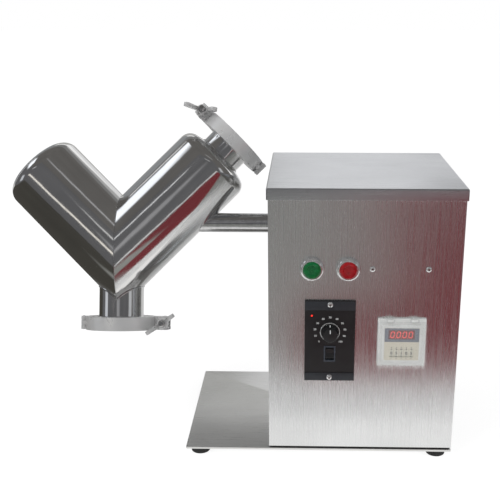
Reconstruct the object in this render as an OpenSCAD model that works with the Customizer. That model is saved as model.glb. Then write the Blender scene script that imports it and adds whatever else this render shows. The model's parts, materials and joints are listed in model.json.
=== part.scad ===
// Laboratory V-blender: a V-shaped mixing drum on one overhung shaft, driven from a sheet-metal cabinet.
// Millimetres. Origin on the floor under the middle of the base plate, +X to the cabinet side,
// +Y to the back, +Z up.

/* [Base] */
// Width of the base plate along X
plate_w = 336; // [330:1:350]
// Thickness of the base plate
plate_t = 3; // [2:0.5:6]
// Diameter of a rubber foot
foot_d = 24; // [20:1:28]
// Height of a rubber foot
foot_h = 10; // [8:1:14]
// Distance of a foot's centre from the plate's edges
foot_inset = 17; // [15:0.5:24]
// Thickness of the sealing strip under the cabinet
strip_t = 2; // [1:0.5:4]

/* [Cabinet] */
// Width of the cabinet
cab_w = 230; // [224:1:240]
// Depth of the cabinet
cab_d = 222; // [216:1:232]
// Height from the cabinet's foot to the lid's top face
cab_h = 335; // [325:1:350]
// Sheet thickness of the cabinet
sheet_t = 1.5; // [1:0.25:2.5]
// Width of the cabinet's turned-in flanges
flange_w = 14; // [12:1:20]
// Depth of the lid's skirt
skirt_h = 14; // [10:1:20]
// Gap between the lid's skirt and the cabinet wall
lid_gap = 0.5; // [0.3:0.1:1]

/* [Drum] */
// Outer diameter of the leg tubes
leg_d = 104; // [100:1:108]
// Wall of the drum's sheet
drum_t = 2; // [1.5:0.25:3]
// Angle between the two legs
vee_angle = 90; // [84:1:96]
// Left leg, from the meeting of the leg axes to its crown
left_leg_len = 163.5; // [150:0.5:180]
// Right leg, from the meeting of the leg axes to its crown
right_leg_len = 181.5; // [176:0.5:186]
// Knuckle radius of a leg's end cap
knuckle_r = 16; // [12:0.5:22]
// Crown radius of a leg's end cap
crown_r = 150; // [110:5:220]
// Angle at which the drum is parked, outlet towards the front
park_tilt = 19; // [0:1:40]
// Reach of the drum's middle beyond the cabinet's left wall
drum_reach = 194.7; // [190:0.5:205]
// Height of the shaft axis above the foot of the cabinet
shaft_rise = 263; // [250:1:275]
// Distance of the leg axes' meeting below the shaft axis
joint_drop = 39; // [30:1:46]

/* [Necks and clamps] */
// Outer diameter of the inlet and outlet necks
neck_d = 57; // [53:1:60]
// Wall of the necks
neck_t = 2; // [1.5:0.25:3]
// Diameter of the ferrule rims
ferrule_d = 77.5; // [75:0.5:80]
// Thickness of a ferrule at its rim
rim_t = 2.85; // [2.4:0.05:3.4]
// Thickness of the sealing ring between two ferrules
gasket_t = 1.6; // [1:0.1:2.4]
// Outer diameter of the clamp ring
ring_d = 90; // [87:0.5:92]
// Width of the clamp ring
ring_w = 17; // [16:0.5:19]
// Distance of the inlet clamp's middle beyond the right leg's end
inlet_rise = 22.5; // [19.5:0.5:24.5]
// Distance of the outlet clamp's middle beyond the V's outer corner
outlet_rise = 19; // [17.5:0.5:24.5]
// Diameter of the swing bolt
bolt_d = 8; // [6:0.5:9]
// Distance of the swing bolt's axis from the clamp's centre
bolt_reach = 56; // [55.5:0.5:58]
// Reach of the wing nut's wings from the bolt axis
wing_reach = 21.5; // [19:0.5:25]

/* [Shaft and bearings] */
// Diameter of the main shaft
shaft_d = 25; // [20:0.5:27]
// Length of the main shaft inside the cabinet
shaft_in = 118; // [112:1:126]
// Outer diameter of the bearing inserts
insert_d = 42; // [38:1:46]
// Width of a bearing insert and its housing
bearing_w = 16; // [12:1:18]
// Height of the shaft axis above the bearing housings' feet
bearing_h = 32; // [30:1:36]
// Distance of the first bearing's middle from the cabinet's left wall
bearing_one = 22; // [20:1:26]
// Distance of the second bearing's middle from the cabinet's left wall
bearing_two = 102; // [98:1:104]

/* [Drive] */
// Distance of the belt's middle from the cabinet's left wall
belt_x = 62; // [58:1:66]
// Width of the drive belt
belt_w = 12; // [8:1:14]
// Thickness of the drive belt
belt_t = 2.4; // [1.6:0.1:3]
// Outer diameter of the driven pulley on the main shaft
driven_d = 60; // [50:1:64]
// Outer diameter of the gearbox pulley
driver_d = 30; // [26:1:36]
// Height of the motor axis above the base plate
motor_rise = 62; // [56:1:70]
// Side of the square gearbox
gear_side = 70; // [64:1:76]
// Length of the gearbox
gear_len = 36; // [30:1:40]
// Diameter of the motor
motor_d = 78; // [70:1:84]
// Length of the motor
motor_len = 84; // [70:1:88]
// Thickness of the drive frame's and the motor bracket's plate
frame_t = 3; // [2:0.5:4]

/* [Push buttons] */
// Diameter of a push button's bezel
bezel_d = 29.5; // [27:0.5:32]
// Diameter of a push button's lens
lens_d = 20.5; // [18:0.5:22]
// Travel of a push button
button_travel = 3.5; // [2:0.5:4]
// Distance of the green button's centre from the cabinet's left wall
green_x = 52; // [45:1:56]
// Distance between the two push buttons
button_pitch = 43; // [38:1:48]
// Height of the push buttons above the cabinet's foot
button_z = 237.5; // [232:0.5:245]

/* [Speed controller] */
// Width of the speed controller's panel
speed_w = 61; // [58:1:66]
// Height of the speed controller's panel
speed_h = 104; // [100:1:108]
// Distance of the speed controller's middle from the cabinet's left wall
speed_x = 74.5; // [70:0.5:78]
// Height of the speed controller's middle above the cabinet's foot
speed_z = 145.7; // [140:0.5:150]
// Depth of the speed controller's body behind the panel
speed_depth = 46; // [30:1:48]
// Diameter of the speed knob
knob_d = 24; // [20:0.5:28]
// Height of the speed knob
knob_h = 13; // [9:0.5:18]
// Width of the rocker switch's opening
rocker_w = 10.5; // [8:0.5:13]
// Height of the rocker switch's opening
rocker_h = 17; // [13:0.5:19]

/* [Timer] */
// Side of the timer's square front
timer_side = 48; // [45:1:50]
// Distance of the timer's middle from the cabinet's left wall
timer_x = 161.3; // [155:0.5:166]
// Height of the timer's middle above the cabinet's foot
timer_z = 143.5; // [138:0.5:150]
// Depth of the timer's body behind the panel
timer_depth = 72; // [50:1:80]
// Width of the clear cover
cover_w = 58; // [56:1:62]
// Height of the clear cover
cover_h = 58; // [56:1:62]
// Depth of the clear cover
cover_d = 13; // [11:0.5:16]
// Diameter of a digit wheel
wheel_d = 18; // [16:0.5:20]
// Distance between digit wheels
wheel_pitch = 6; // [5.5:0.1:6.6]

/* [Hidden] */
// Facets of round faces
$fn = 96;

// Overrun of cuts
cut = 1;
// Gap between parts that move against each other
run_gap = 0.3;
// Radial clearance of a shaft or pin in its hole
fit_gap = 0.05;

// The base plate is as deep as the cabinet that stands on it
plate_d = cab_d;
// Levels of the base
plate_bottom = foot_h;
plate_top = plate_bottom + plate_t;
cab_bottom = plate_top + strip_t;
cab_top = cab_bottom + cab_h;
// Edges of the cabinet: its right side is flush with the plate
cab_right = plate_w / 2;
cab_left = cab_right - cab_w;
// Distance of the cabinet's front behind the plate's front edge
cab_setback = 1.5;
cab_front = -plate_d / 2 + cab_setback;
cab_back = cab_front + cab_d;
cab_mid_y = (cab_front + cab_back) / 2;
cab_mid_x = (cab_left + cab_right) / 2;
// The shell ends under the lid's sheet
shell_top = cab_top - sheet_t;

// Shaft and drum places
shaft_z = cab_bottom + shaft_rise;
shaft_y = cab_mid_y;
drum_x = cab_left - drum_reach;
leg_r = leg_d / 2;
half_vee = vee_angle / 2;
neck_r = neck_d / 2;
ferrule_r = ferrule_d / 2;
ring_r = ring_d / 2;
shaft_r = shaft_d / 2;
// Middles of the inlet and outlet clamps, from the place where the legs' axes meet
inlet_face = right_leg_len + inlet_rise;
outlet_face = leg_r / sin(half_vee) + outlet_rise;

// Caps: height of the dished end above its tube, and the crown's centre below the tube's edge
crown_drop = sqrt(pow(crown_r - knuckle_r, 2) - pow(leg_r - knuckle_r, 2));
cap_h = crown_r - crown_drop;
// Fall of the crown from its middle to the neck
neck_sag = crown_r - sqrt(pow(crown_r, 2) - pow(neck_r, 2));
// The inlet neck starts flush with the cap's inside
neck_start = right_leg_len - neck_sag - drum_t;
// The taper of ferrules and clamps
taper = 20;
hub_r = neck_r + neck_t;
// Height of a ferrule's or blind cap's tapered rim
rim_h = rim_t + (ferrule_r - hub_r) * tan(taper);
// Thickness of a blind cap's middle
blind_t = 6.4;

// Clamp: gap to the ferrules, inner lip, split between the halves
clamp_gap = 0.15;
lip_r = hub_r + clamp_gap * 2;
groove_r = ferrule_r + clamp_gap;
split = 2.4;
// Hinge pins and their knuckles, swing bolts' pins, and the lugs' reach past the bolt's axis
clamp_hinge_r = 2;
clamp_knuckle_r = 3.6;
clamp_hinge_x = ring_r + clamp_knuckle_r + run_gap;
pin_r = 3;
bolt_r = bolt_d / 2;
eye_r = pin_r + bolt_r;
lug_wall = 2.5;
lug_end = bolt_r + lug_wall;
// Distance of the swing bolt's pivot from the split, and radius of the nut's seat about it
pivot_set = 9;
seat_r = 19;
bolt_len = 36;
nut_r = 7.5;
nut_h = 9.5;
wing_t = 5;
wing_tip_r = 4.5;
// Height of the wings' tips above the split
wing_top = 38;

// Places along the shaft
inner_left = cab_left + sheet_t;
bearing_xs = [cab_left + bearing_one, cab_left + bearing_two];
pulley_x = cab_left + belt_x;
shaft_end = cab_left + shaft_in;
insert_r = insert_d / 2;
driven_r = driven_d / 2;
driver_r = driver_d / 2;
pulley_lip = 1;
pulley_side_t = 2;
pulley_w = belt_w + 2 * (pulley_side_t + run_gap);
motor_z = plate_top + motor_rise;
shelf_top = shaft_z - bearing_h;
bracket_clear = 7;
bracket_x = pulley_x + pulley_w / 2 + bracket_clear;
gear_x = bracket_x + frame_t;
motor_x = gear_x + gear_len;
output_r = 5;
// Overlap that joins the motor pulley to its shaft
shaft_lap = 0.5;

// Screws and bolts
bolt_m = 6;
bolt_head_r = 5.5;
bolt_head_h = 4;
bolt_l = 14;
gear_bolt_share = 0.36;
bearing_bolt_share = 0.4;
screw_r = 1.9;
dome_r = 3.6;
dome_h = 2.2;
screw_l = 8;

// Front panel places in the row frame
front_in = cab_front + sheet_t;
green_cx = cab_left + green_x;
red_cx = green_cx + button_pitch;
buttons_cz = cab_bottom + button_z;
// The two dome screws hold the rail of the terminal block: their middle and their distance
dome_x = 157;
dome_pitch = 66.4;
dome_xs = [cab_left + dome_x - dome_pitch / 2, cab_left + dome_x + dome_pitch / 2];
button_hole_r = 11;
bezel_h = 7;
bezel_t = 2.2;
lens_r = lens_d / 2;
lens_h = 9.5;
barrel_l = 26;
contact_l = 20;
contact_w = 28;
contact_h = 34;
speed_cx = cab_left + speed_x;
speed_cz = cab_bottom + speed_z;
panel_t = 2.6;
strip_step = 0.8;
strip_top = 12;
strip_low = 10.5;
speed_screw_set = 4.6;
body_inset = 4;
knob_up = 12.5;
knob_cz = speed_cz + knob_up;
knob_skirt_h = 2.4;
knob_step = 2.2;
knob_draft = 1;
knob_boss_r = 3;
rocker_down = 16.5;
rocker_cz = speed_cz - rocker_down;
rocker_frame = 1.8;
rocker_proud = 1.6;
rocker_tilt = 9;
timer_cx = cab_left + timer_x;
timer_cz = cab_bottom + timer_z;
timer_neck = 44.8;
timer_rim = 3;
timer_proud = 5;
frame_ring_t = 3;
face_t = 1;
hinge_r = 1.6;
hinge_out = 6;
hinge_l = 7;
hinge_pin_r = 0.9;
cover_t = 1.6;
wheel_t = 4.6;
wheel_r = wheel_d / 2;
axle_r = 1.5;
wheel_proud = 0.7;
wheels_down = 11.5;
wheels_cz = timer_cz - wheels_down;
wheel_cy = cab_front - timer_proud - wheel_proud + wheel_r;
wheels_half = 2.5 * wheel_pitch + run_gap;
hinge_y = cab_front - hinge_out;
hinge_z = timer_cz + cover_h / 2 + hinge_r;
stem_r = 5;
lens_seat = 2;
lens_proud = 1.5;
lens_round = 1.5;
nut_w = 4;
rail_t = 2;
rail_h = 35;
rocker_pin_r = 1.2;
rocker_back = 2.5;
rocker_pivot_y = cab_front + rocker_back;
rocker_r = rocker_h / 2 - run_gap;
rocker_face = panel_t + rocker_back;

// The nuts are left with their wings turned away from the drum's necks
nut_turn = 35;
// Feet: flare towards the floor, and rubber left over the screw's head
foot_flare = 1.5;
foot_web = 5;
// Bearing housings: their length keeps its share of the cabinet's depth
bearing_share = 0.45;
bearing_len = bearing_share * cab_d;
housing_foot_w = 22;
housing_foot_h = 10;
housing_wall = 6;
// Shaft seal
seal_flange_r = 17;
seal_flange_t = 2;
seal_body_r = 15;
seal_l = 6;
// Frame feet, and its clearance behind the controls
frame_foot_w = 14;
control_gap = 4;
// Gearbox boss and the motor's end cap
boss_r = 14;
motor_cap_h = 8;
// Vents and power inlet in the rear panel
vent_n = 7;
vent_w = 60;
vent_t = 4;
vent_pitch = 10;
inlet_w = 28;
inlet_h = 20;
inlet_lip = 3;
inlet_depth = 24;
pocket_d = 16;
pocket_wall = 2.5;
// Terminal rail and its block
rail_over = 6;
block_w = 44;
block_d = 22;
block_h = 30;
// Capacitor
cap_r = 15;
cap_l = 50;

// Gives the place of the drum: Z along the middle of the V, origin where the leg axes meet
module at_drum() {
    translate([drum_x, shaft_y, shaft_z])
        rotate([-park_tilt, 0, 0])
            translate([0, 0, -joint_drop]) children();
}

// Places with Z out of the drum and +X towards the swing bolt
module at_inlet() {
    at_drum() rotate([0, half_vee, 0]) translate([0, 0, inlet_face]) rotate([0, 0, 180]) children();
}

module at_outlet() {
    at_drum() translate([0, 0, -outlet_face]) rotate([180, 0, 0]) children();
}

// Half space on one side of the V's middle plane
module vee_side(side) {
    reach = 2 * max(left_leg_len, right_leg_len);
    translate([side < 0 ? -reach : 0, -reach / 2, -reach / 2]) cube([reach, reach, reach]);
}

// Full round of one leg, mitred at the V's middle plane
module leg_round(side, r, len) {
    intersection() {
        rotate([0, side * half_vee, 0])
            translate([0, 0, -2 * leg_r]) cylinder(r = r, h = len + 2 * leg_r);
        vee_side(side);
    }
}

module leg_tube(side, len) {
    at_drum() difference() {
        leg_round(side, leg_r, len - cap_h);
        rotate([0, side * half_vee, 0])
            translate([0, 0, -2 * leg_r - cut])
                cylinder(r = leg_r - drum_t, h = len - cap_h + 2 * leg_r + 2 * cut);
        translate([0, 0, -outlet_face]) cylinder(r = neck_r - neck_t, h = outlet_face);
    }
}

// Half section of a dished end, shrunk by a wall
module head_area(wall) {
    dir = [leg_r - knuckle_r, crown_drop] / (crown_r - knuckle_r);
    far = crown_r + knuckle_r;
    intersection() {
        union() {
            translate([leg_r - knuckle_r, 0]) circle(r = knuckle_r - wall);
            intersection() {
                translate([0, -crown_drop]) circle(r = crown_r - wall, $fn = 4 * $fn);
                polygon([[0, -crown_drop], [far * dir[0], far * dir[1] - crown_drop],
                         [0, far - crown_drop]]);
            }
        }
        square([2 * leg_r, crown_r]);
    }
}

module end_cap(side, len) {
    at_drum() rotate([0, side * half_vee, 0]) translate([0, 0, len - cap_h])
        rotate_extrude() difference() {
            head_area(0);
            head_area(drum_t);
        }
}

module left_leg() {
    color("silver") leg_tube(-1, left_leg_len);
}

module right_leg() {
    color("silver") leg_tube(1, right_leg_len);
}

module left_end_cap() {
    color("gainsboro") end_cap(-1, left_leg_len);
}

module right_end_cap() {
    color("gainsboro") difference() {
        end_cap(1, right_leg_len);
        at_inlet() translate([0, 0, -inlet_face]) cylinder(r = neck_r, h = inlet_face);
    }
}

// A neck of a given length with its ferrule, the face at the clamp's middle less the seal
module neck_tube(len) {
    translate([0, 0, -gasket_t / 2]) rotate_extrude()
        polygon([[neck_r - neck_t, 0], [ferrule_r, 0], [ferrule_r, -rim_t], [hub_r, -rim_h],
                 [neck_r, -rim_h], [neck_r, -len], [neck_r - neck_t, -len]]);
}

module inlet_neck() {
    color("silver") at_inlet() neck_tube(inlet_face - gasket_t / 2 - neck_start);
}

module outlet_neck() {
    color("silver") difference() {
        at_outlet() neck_tube(outlet_face - gasket_t / 2);
        at_drum() for (side = [-1, 1]) leg_round(side, leg_r, 2 * leg_r);
    }
}

module gasket_ring() {
    translate([0, 0, -gasket_t / 2]) difference() {
        cylinder(r = ferrule_r - clamp_gap, h = gasket_t);
        translate([0, 0, -cut]) cylinder(r = neck_r - neck_t, h = gasket_t + 2 * cut);
    }
}

module gaskets() {
    color("white") {
        at_inlet() gasket_ring();
        at_outlet() gasket_ring();
    }
}

module blind_cap() {
    translate([0, 0, gasket_t / 2]) rotate_extrude()
        polygon([[0, 0], [ferrule_r, 0], [ferrule_r, rim_t], [hub_r, rim_h], [hub_r - neck_t, blind_t],
                 [0, blind_t]]);
}

module inlet_cap() {
    color("silver") at_inlet() blind_cap();
}

module outlet_cap() {
    color("silver") at_outlet() blind_cap();
}

// Section of the clamp ring, with the tapered groove that draws the ferrules together
module ring_area() {
    groove_z = gasket_t / 2 + rim_t + clamp_gap;
    lip_z = gasket_t / 2 + rim_h + clamp_gap;
    polygon([[lip_r, lip_z], [lip_r, ring_w / 2], [ring_r, ring_w / 2], [ring_r, -ring_w / 2],
             [lip_r, -ring_w / 2], [lip_r, -lip_z], [groove_r, -groove_z], [groove_r, groove_z]]);
}

module half_ring(side) {
    reach = 2 * ring_r;
    intersection() {
        rotate_extrude() ring_area();
        translate([-reach / 2, side < 0 ? -reach - split / 2 : split / 2, -ring_w])
            cube([reach, reach, 2 * ring_w]);
    }
}

// A hinge knuckle between two heights, with the arm that joins it to its half
module clamp_knuckle(side, low, high) {
    arm_w = clamp_knuckle_r + split;
    translate([-clamp_hinge_x, 0, low]) difference() {
        union() {
            cylinder(r = clamp_knuckle_r, h = high - low);
            translate([0, side < 0 ? -arm_w : 0, 0])
                cube([clamp_hinge_x - ring_r + split, arm_w, high - low]);
        }
        translate([0, 0, -cut]) cylinder(r = clamp_hinge_r, h = high - low + 2 * cut);
        translate([clamp_hinge_x, 0, -cut]) cylinder(r = groove_r, h = high - low + 2 * cut);
    }
}

// Lug that the nut bears on, rounded about the swing bolt's pivot
module nut_lug() {
    slot = bolt_r + run_gap;
    difference() {
        intersection() {
            translate([ring_r - split, split / 2, -ring_w / 2])
                cube([bolt_reach + lug_end - ring_r + split, seat_r, ring_w]);
            translate([bolt_reach, -pivot_set, -ring_w]) cylinder(r = seat_r, h = 2 * ring_w);
        }
        translate([bolt_reach - slot, 0, -slot]) cube([2 * slot + lug_end, seat_r, 2 * slot]);
        translate([0, 0, -ring_w]) cylinder(r = groove_r + split / 2, h = 2 * ring_w);
    }
}

// Lug that carries the swing bolt's pin
module pivot_lug() {
    slot_z = bolt_r + run_gap;
    difference() {
        union() {
            translate([ring_r - split, -pivot_set - eye_r, -ring_w / 2])
                cube([bolt_reach - ring_r + split, pivot_set + eye_r - split / 2, ring_w]);
            translate([bolt_reach, -pivot_set, -ring_w / 2]) cylinder(r = eye_r, h = ring_w);
        }
        translate([bolt_reach - eye_r - run_gap, -2 * pivot_set - eye_r, -slot_z])
            cube([3 * eye_r, 2 * pivot_set + 2 * eye_r, 2 * slot_z]);
        translate([bolt_reach, -pivot_set, -ring_w]) cylinder(r = pin_r, h = 2 * ring_w);
        translate([0, 0, -ring_w]) cylinder(r = groove_r + split / 2, h = 2 * ring_w);
    }
}

module clamp() {
    knuckle_half = ring_w / 6;
    union() {
        half_ring(1);
        clamp_knuckle(1, -knuckle_half, knuckle_half);
        nut_lug();
    }
    union() {
        half_ring(-1);
        clamp_knuckle(-1, knuckle_half + run_gap, ring_w / 2);
        clamp_knuckle(-1, -ring_w / 2, -knuckle_half - run_gap);
        pivot_lug();
    }
}

module inlet_clamp() {
    color("lightgray") at_inlet() clamp();
}

module outlet_clamp() {
    color("lightgray") at_outlet() clamp();
}

module pin_pair() {
    for (pin = [[-clamp_hinge_x, 0, clamp_hinge_r], [bolt_reach, -pivot_set, pin_r]])
        translate([pin[0], pin[1], -ring_w / 2]) cylinder(r = pin[2], h = ring_w);
}

module clamp_pins() {
    color("dimgray") {
        at_inlet() pin_pair();
        at_outlet() pin_pair();
    }
}

module swing_bolt() {
    translate([bolt_reach, -pivot_set, 0]) difference() {
        union() {
            translate([0, 0, -bolt_r]) cylinder(r = eye_r, h = 2 * bolt_r);
            rotate([-90, 0, 0]) cylinder(r = bolt_r, h = bolt_len);
        }
        translate([0, 0, -bolt_d]) cylinder(r = pin_r + fit_gap, h = 2 * bolt_d);
    }
}

module inlet_bolt() {
    color("silver") at_inlet() swing_bolt();
}

module outlet_bolt() {
    color("silver") at_outlet() swing_bolt();
}

// Outline of one wing in the plane of the bolt's axis: X out from the axis, Y along the bolt
module wing_area() {
    tip_x = wing_reach - wing_tip_r;
    tip_y = wing_top - wing_tip_r;
    low = seat_r - pivot_set + run_gap;
    translate([tip_x, tip_y]) circle(r = wing_tip_r);
    polygon([[nut_r - wing_t / 2, low + wing_t / 2],
             [tip_x + wing_tip_r * cos(45), tip_y - wing_tip_r * sin(45)],
             [tip_x - wing_tip_r * cos(45), tip_y + wing_tip_r * sin(45)],
             [nut_r - wing_t / 2, low + nut_h]]);
}

module wing_nut() {
    low = seat_r - pivot_set + run_gap;
    translate([bolt_reach, 0, 0]) difference() {
        union() {
            translate([0, low, 0]) rotate([-90, 0, 0]) cylinder(r = nut_r, h = nut_h);
            for (turn = [0, 180]) rotate([0, turn, 0])
                translate([0, 0, -wing_t / 2]) linear_extrude(wing_t) wing_area();
        }
        rotate([-90, 0, 0]) cylinder(r = bolt_r + fit_gap, h = 2 * wing_top);
    }
}

module turned_nut() {
    translate([bolt_reach, 0, 0]) rotate([0, nut_turn, 0]) translate([-bolt_reach, 0, 0]) wing_nut();
}

module inlet_nut() {
    color("lightgray") at_inlet() turned_nut();
}

module outlet_nut() {
    color("lightgray") at_outlet() turned_nut();
}

module main_shaft() {
    color("silver") difference() {
        translate([drum_x + leg_r, shaft_y, shaft_z])
            rotate([0, 90, 0]) cylinder(r = shaft_r, h = shaft_end - drum_x - leg_r);
        at_drum() leg_round(1, leg_r, right_leg_len - cap_h);
    }
}

foot_places = [for (sx = [-1, 1], sy = [-1, 1])
    [sx * (plate_w / 2 - foot_inset), sy * (plate_d / 2 - foot_inset)]];

// The cabinet is held down through its foot flanges
hold_places = [for (sx = [-1, 1], sy = [-1, 1])
    [cab_mid_x + sx * (cab_w / 2 - sheet_t - flange_w / 2), cab_mid_y + sy * cab_d / 4]];

// Box given by its lowest and highest corners
module span(low, high) {
    translate(low) cube(high - low);
}

// Dome-headed screw standing on the face it points out of
module dome_screw(shank) {
    intersection() {
        translate([0, 0, dome_h - 2 * dome_r]) sphere(r = 2 * dome_r);
        cylinder(r = dome_r, h = dome_h);
    }
    translate([0, 0, -shank]) cylinder(r = screw_r, h = shank);
}

// Hexagon-headed bolt standing on the face it points out of
module hex_bolt() {
    cylinder(r = bolt_head_r, h = bolt_head_h, $fn = 6);
    translate([0, 0, -bolt_l]) cylinder(r = bolt_m / 2, h = bolt_l);
}

module foot_hole(low, high) {
    for (p = foot_places) translate([p[0], p[1], low]) cylinder(r = bolt_m / 2, h = high - low);
}

module base_plate() {
    color("silver") difference() {
        span([-plate_w / 2, -plate_d / 2, plate_bottom], [plate_w / 2, plate_d / 2, plate_top]);
        foot_hole(plate_bottom - cut, plate_top + cut);
        for (p = hold_places) translate([p[0], p[1], 0]) cylinder(r = bolt_m / 2, h = cab_bottom);
        for (p = frame_hold_places) translate([p[0], p[1], 0]) cylinder(r = bolt_m / 2, h = cab_bottom);
    }
}

// A foot is a little wider at the floor, and hides its screw in a recess
module rubber_feet() {
    color("black") difference() {
        for (p = foot_places) translate([p[0], p[1], 0])
            cylinder(r1 = foot_d / 2, r2 = foot_d / 2 - foot_flare, h = foot_h);
        foot_hole(-cut, foot_h + cut);
        for (p = foot_places) translate([p[0], p[1], -cut])
            cylinder(r = bolt_head_r + run_gap, h = foot_h - foot_web + cut);
    }
}

module foot_screws() {
    color("silver") for (p = foot_places) translate([p[0], p[1], foot_h - foot_web]) {
        translate([0, 0, -bolt_head_h]) cylinder(r = bolt_head_r, h = bolt_head_h, $fn = 6);
        cylinder(r = bolt_m / 2, h = plate_top - foot_h + foot_web);
    }
}

module sealing_strip() {
    inner = flange_w;
    color("black") difference() {
        span([cab_left + sheet_t, cab_front + sheet_t, plate_top],
             [cab_right - sheet_t, cab_back - sheet_t, cab_bottom]);
        span([cab_left + inner, cab_front + inner, plate_top - cut],
             [cab_right - inner, cab_back - inner, cab_bottom + cut]);
        for (p = hold_places) translate([p[0], p[1], 0]) cylinder(r = bolt_m / 2, h = 2 * cab_bottom);
    }
}

module panel_holes() {
    for (x = [green_cx, red_cx]) translate([x, cab_front - cut, buttons_cz])
        rotate([-90, 0, 0]) cylinder(r = button_hole_r, h = sheet_t + 2 * cut);
    for (x = dome_xs) translate([x, cab_front - cut, buttons_cz])
        rotate([-90, 0, 0]) cylinder(r = screw_r, h = sheet_t + 2 * cut);
    for (sz = [-1, 1]) translate([speed_cx, cab_front - cut, speed_cz + sz * speed_screw_z])
        rotate([-90, 0, 0]) cylinder(r = screw_r, h = sheet_t + 2 * cut);
    span([speed_cx - body_w / 2, cab_front - cut, speed_cz - body_h / 2],
         [speed_cx + body_w / 2, front_in + cut, speed_cz + body_h / 2]);
    span([timer_cx - timer_neck / 2, cab_front - cut, timer_cz - timer_neck / 2],
         [timer_cx + timer_neck / 2, front_in + cut, timer_cz + timer_neck / 2]);
}

module cabinet_shell() {
    back_face = cab_back - sheet_t;
    color("gray") difference() {
        span([cab_left, cab_front, cab_bottom], [cab_right, back_face, shell_top]);
        // Inside, open to the back between the return flanges
        span([inner_left, front_in, cab_bottom + sheet_t],
             [cab_right - sheet_t, back_face - sheet_t, shell_top - sheet_t]);
        span([inner_left + flange_w, back_face - sheet_t - cut, cab_bottom + sheet_t],
             [cab_right - sheet_t - flange_w, back_face + cut, shell_top - sheet_t]);
        // Top and foot openings inside their flanges
        span([inner_left + flange_w, front_in + flange_w, shell_top - sheet_t - cut],
             [cab_right - sheet_t - flange_w, back_face - flange_w, shell_top + cut]);
        span([inner_left + flange_w, front_in + flange_w, cab_bottom - cut],
             [cab_right - sheet_t - flange_w, back_face - flange_w, cab_bottom + sheet_t + cut]);
        translate([cab_left - cut, shaft_y, shaft_z])
            rotate([0, 90, 0]) cylinder(r = seal_body_r, h = sheet_t + 2 * cut);
        for (p = hold_places) translate([p[0], p[1], cab_bottom - cut])
            cylinder(r = bolt_m / 2, h = sheet_t + 2 * cut);
        for (p = rear_places) translate([p[0], back_face - sheet_t - cut, p[1]])
            rotate([-90, 0, 0]) cylinder(r = screw_r, h = sheet_t + 2 * cut);
        panel_holes();
    }
}

rear_places = [for (sx = [-1, 1], share = [0.08, 0.5, 0.92])
    [cab_mid_x + sx * (cab_w / 2 - sheet_t - flange_w / 2), cab_bottom + share * cab_h]];
inlet_cx = cab_right - 3 * flange_w;
inlet_cz = cab_bottom + 3 * flange_w;

module rear_panel() {
    color("gray") difference() {
        span([cab_left, cab_back - sheet_t, cab_bottom], [cab_right, cab_back, shell_top]);
        for (p = rear_places) translate([p[0], cab_back - sheet_t - cut, p[1]])
            rotate([-90, 0, 0]) cylinder(r = screw_r, h = sheet_t + 2 * cut);
        span([inlet_cx - inlet_w / 2, cab_back - sheet_t - cut, inlet_cz - inlet_h / 2],
             [inlet_cx + inlet_w / 2, cab_back + cut, inlet_cz + inlet_h / 2]);
        for (i = [0:vent_n - 1]) vent_slot(i);
    }
}

vent_z = cab_bottom + motor_rise;

module vent_slot(i) {
    z = vent_z + (i - (vent_n - 1) / 2) * vent_pitch;
    span([cab_mid_x - vent_w / 2, cab_back - sheet_t - cut, z - vent_t / 2],
         [cab_mid_x + vent_w / 2, cab_back + cut, z + vent_t / 2]);
}

module rear_screws() {
    color("silver") for (p = rear_places) translate([p[0], cab_back, p[1]])
        rotate([-90, 0, 0]) dome_screw(2 * sheet_t);
}

module cabinet_bolts() {
    head = cab_bottom + sheet_t;
    color("silver") for (p = hold_places) translate([p[0], p[1], head])
        difference() {
            hex_bolt();
            translate([0, 0, -bolt_l - cut])
                cylinder(r = bolt_m, h = bolt_l + cut - (head - plate_bottom));
        }
}

// Drive frame: a shelf on two uprights with feet on the base plate
frame_left = inner_left + flange_w + 3 * frame_t;
frame_right = bearing_xs[1] + housing_foot_w / 2 + frame_t;
upright_y = bearing_len / 2 + frame_t / 2;
frame_hold_places = [for (sy = [-1, 1], x = [frame_left + flange_w, frame_right - flange_w])
    [x, shaft_y + sy * (upright_y + frame_t + frame_foot_w / 2)]];

// Room that the frame leaves behind the speed controller and the buttons' contact blocks
module controls_room() {
    span([speed_cx - body_w / 2 - control_gap, cab_front, speed_cz - body_h / 2 - control_gap],
         [speed_cx + body_w / 2 + control_gap, front_in + speed_depth + control_gap,
          speed_cz + body_h / 2 + control_gap]);
    span([green_cx - contact_w / 2 - control_gap, cab_front, buttons_cz - contact_h / 2 - control_gap],
         [red_cx + contact_w / 2 + control_gap, cab_front + barrel_l + contact_l + control_gap,
          buttons_cz + contact_h / 2 + control_gap]);
}

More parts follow.
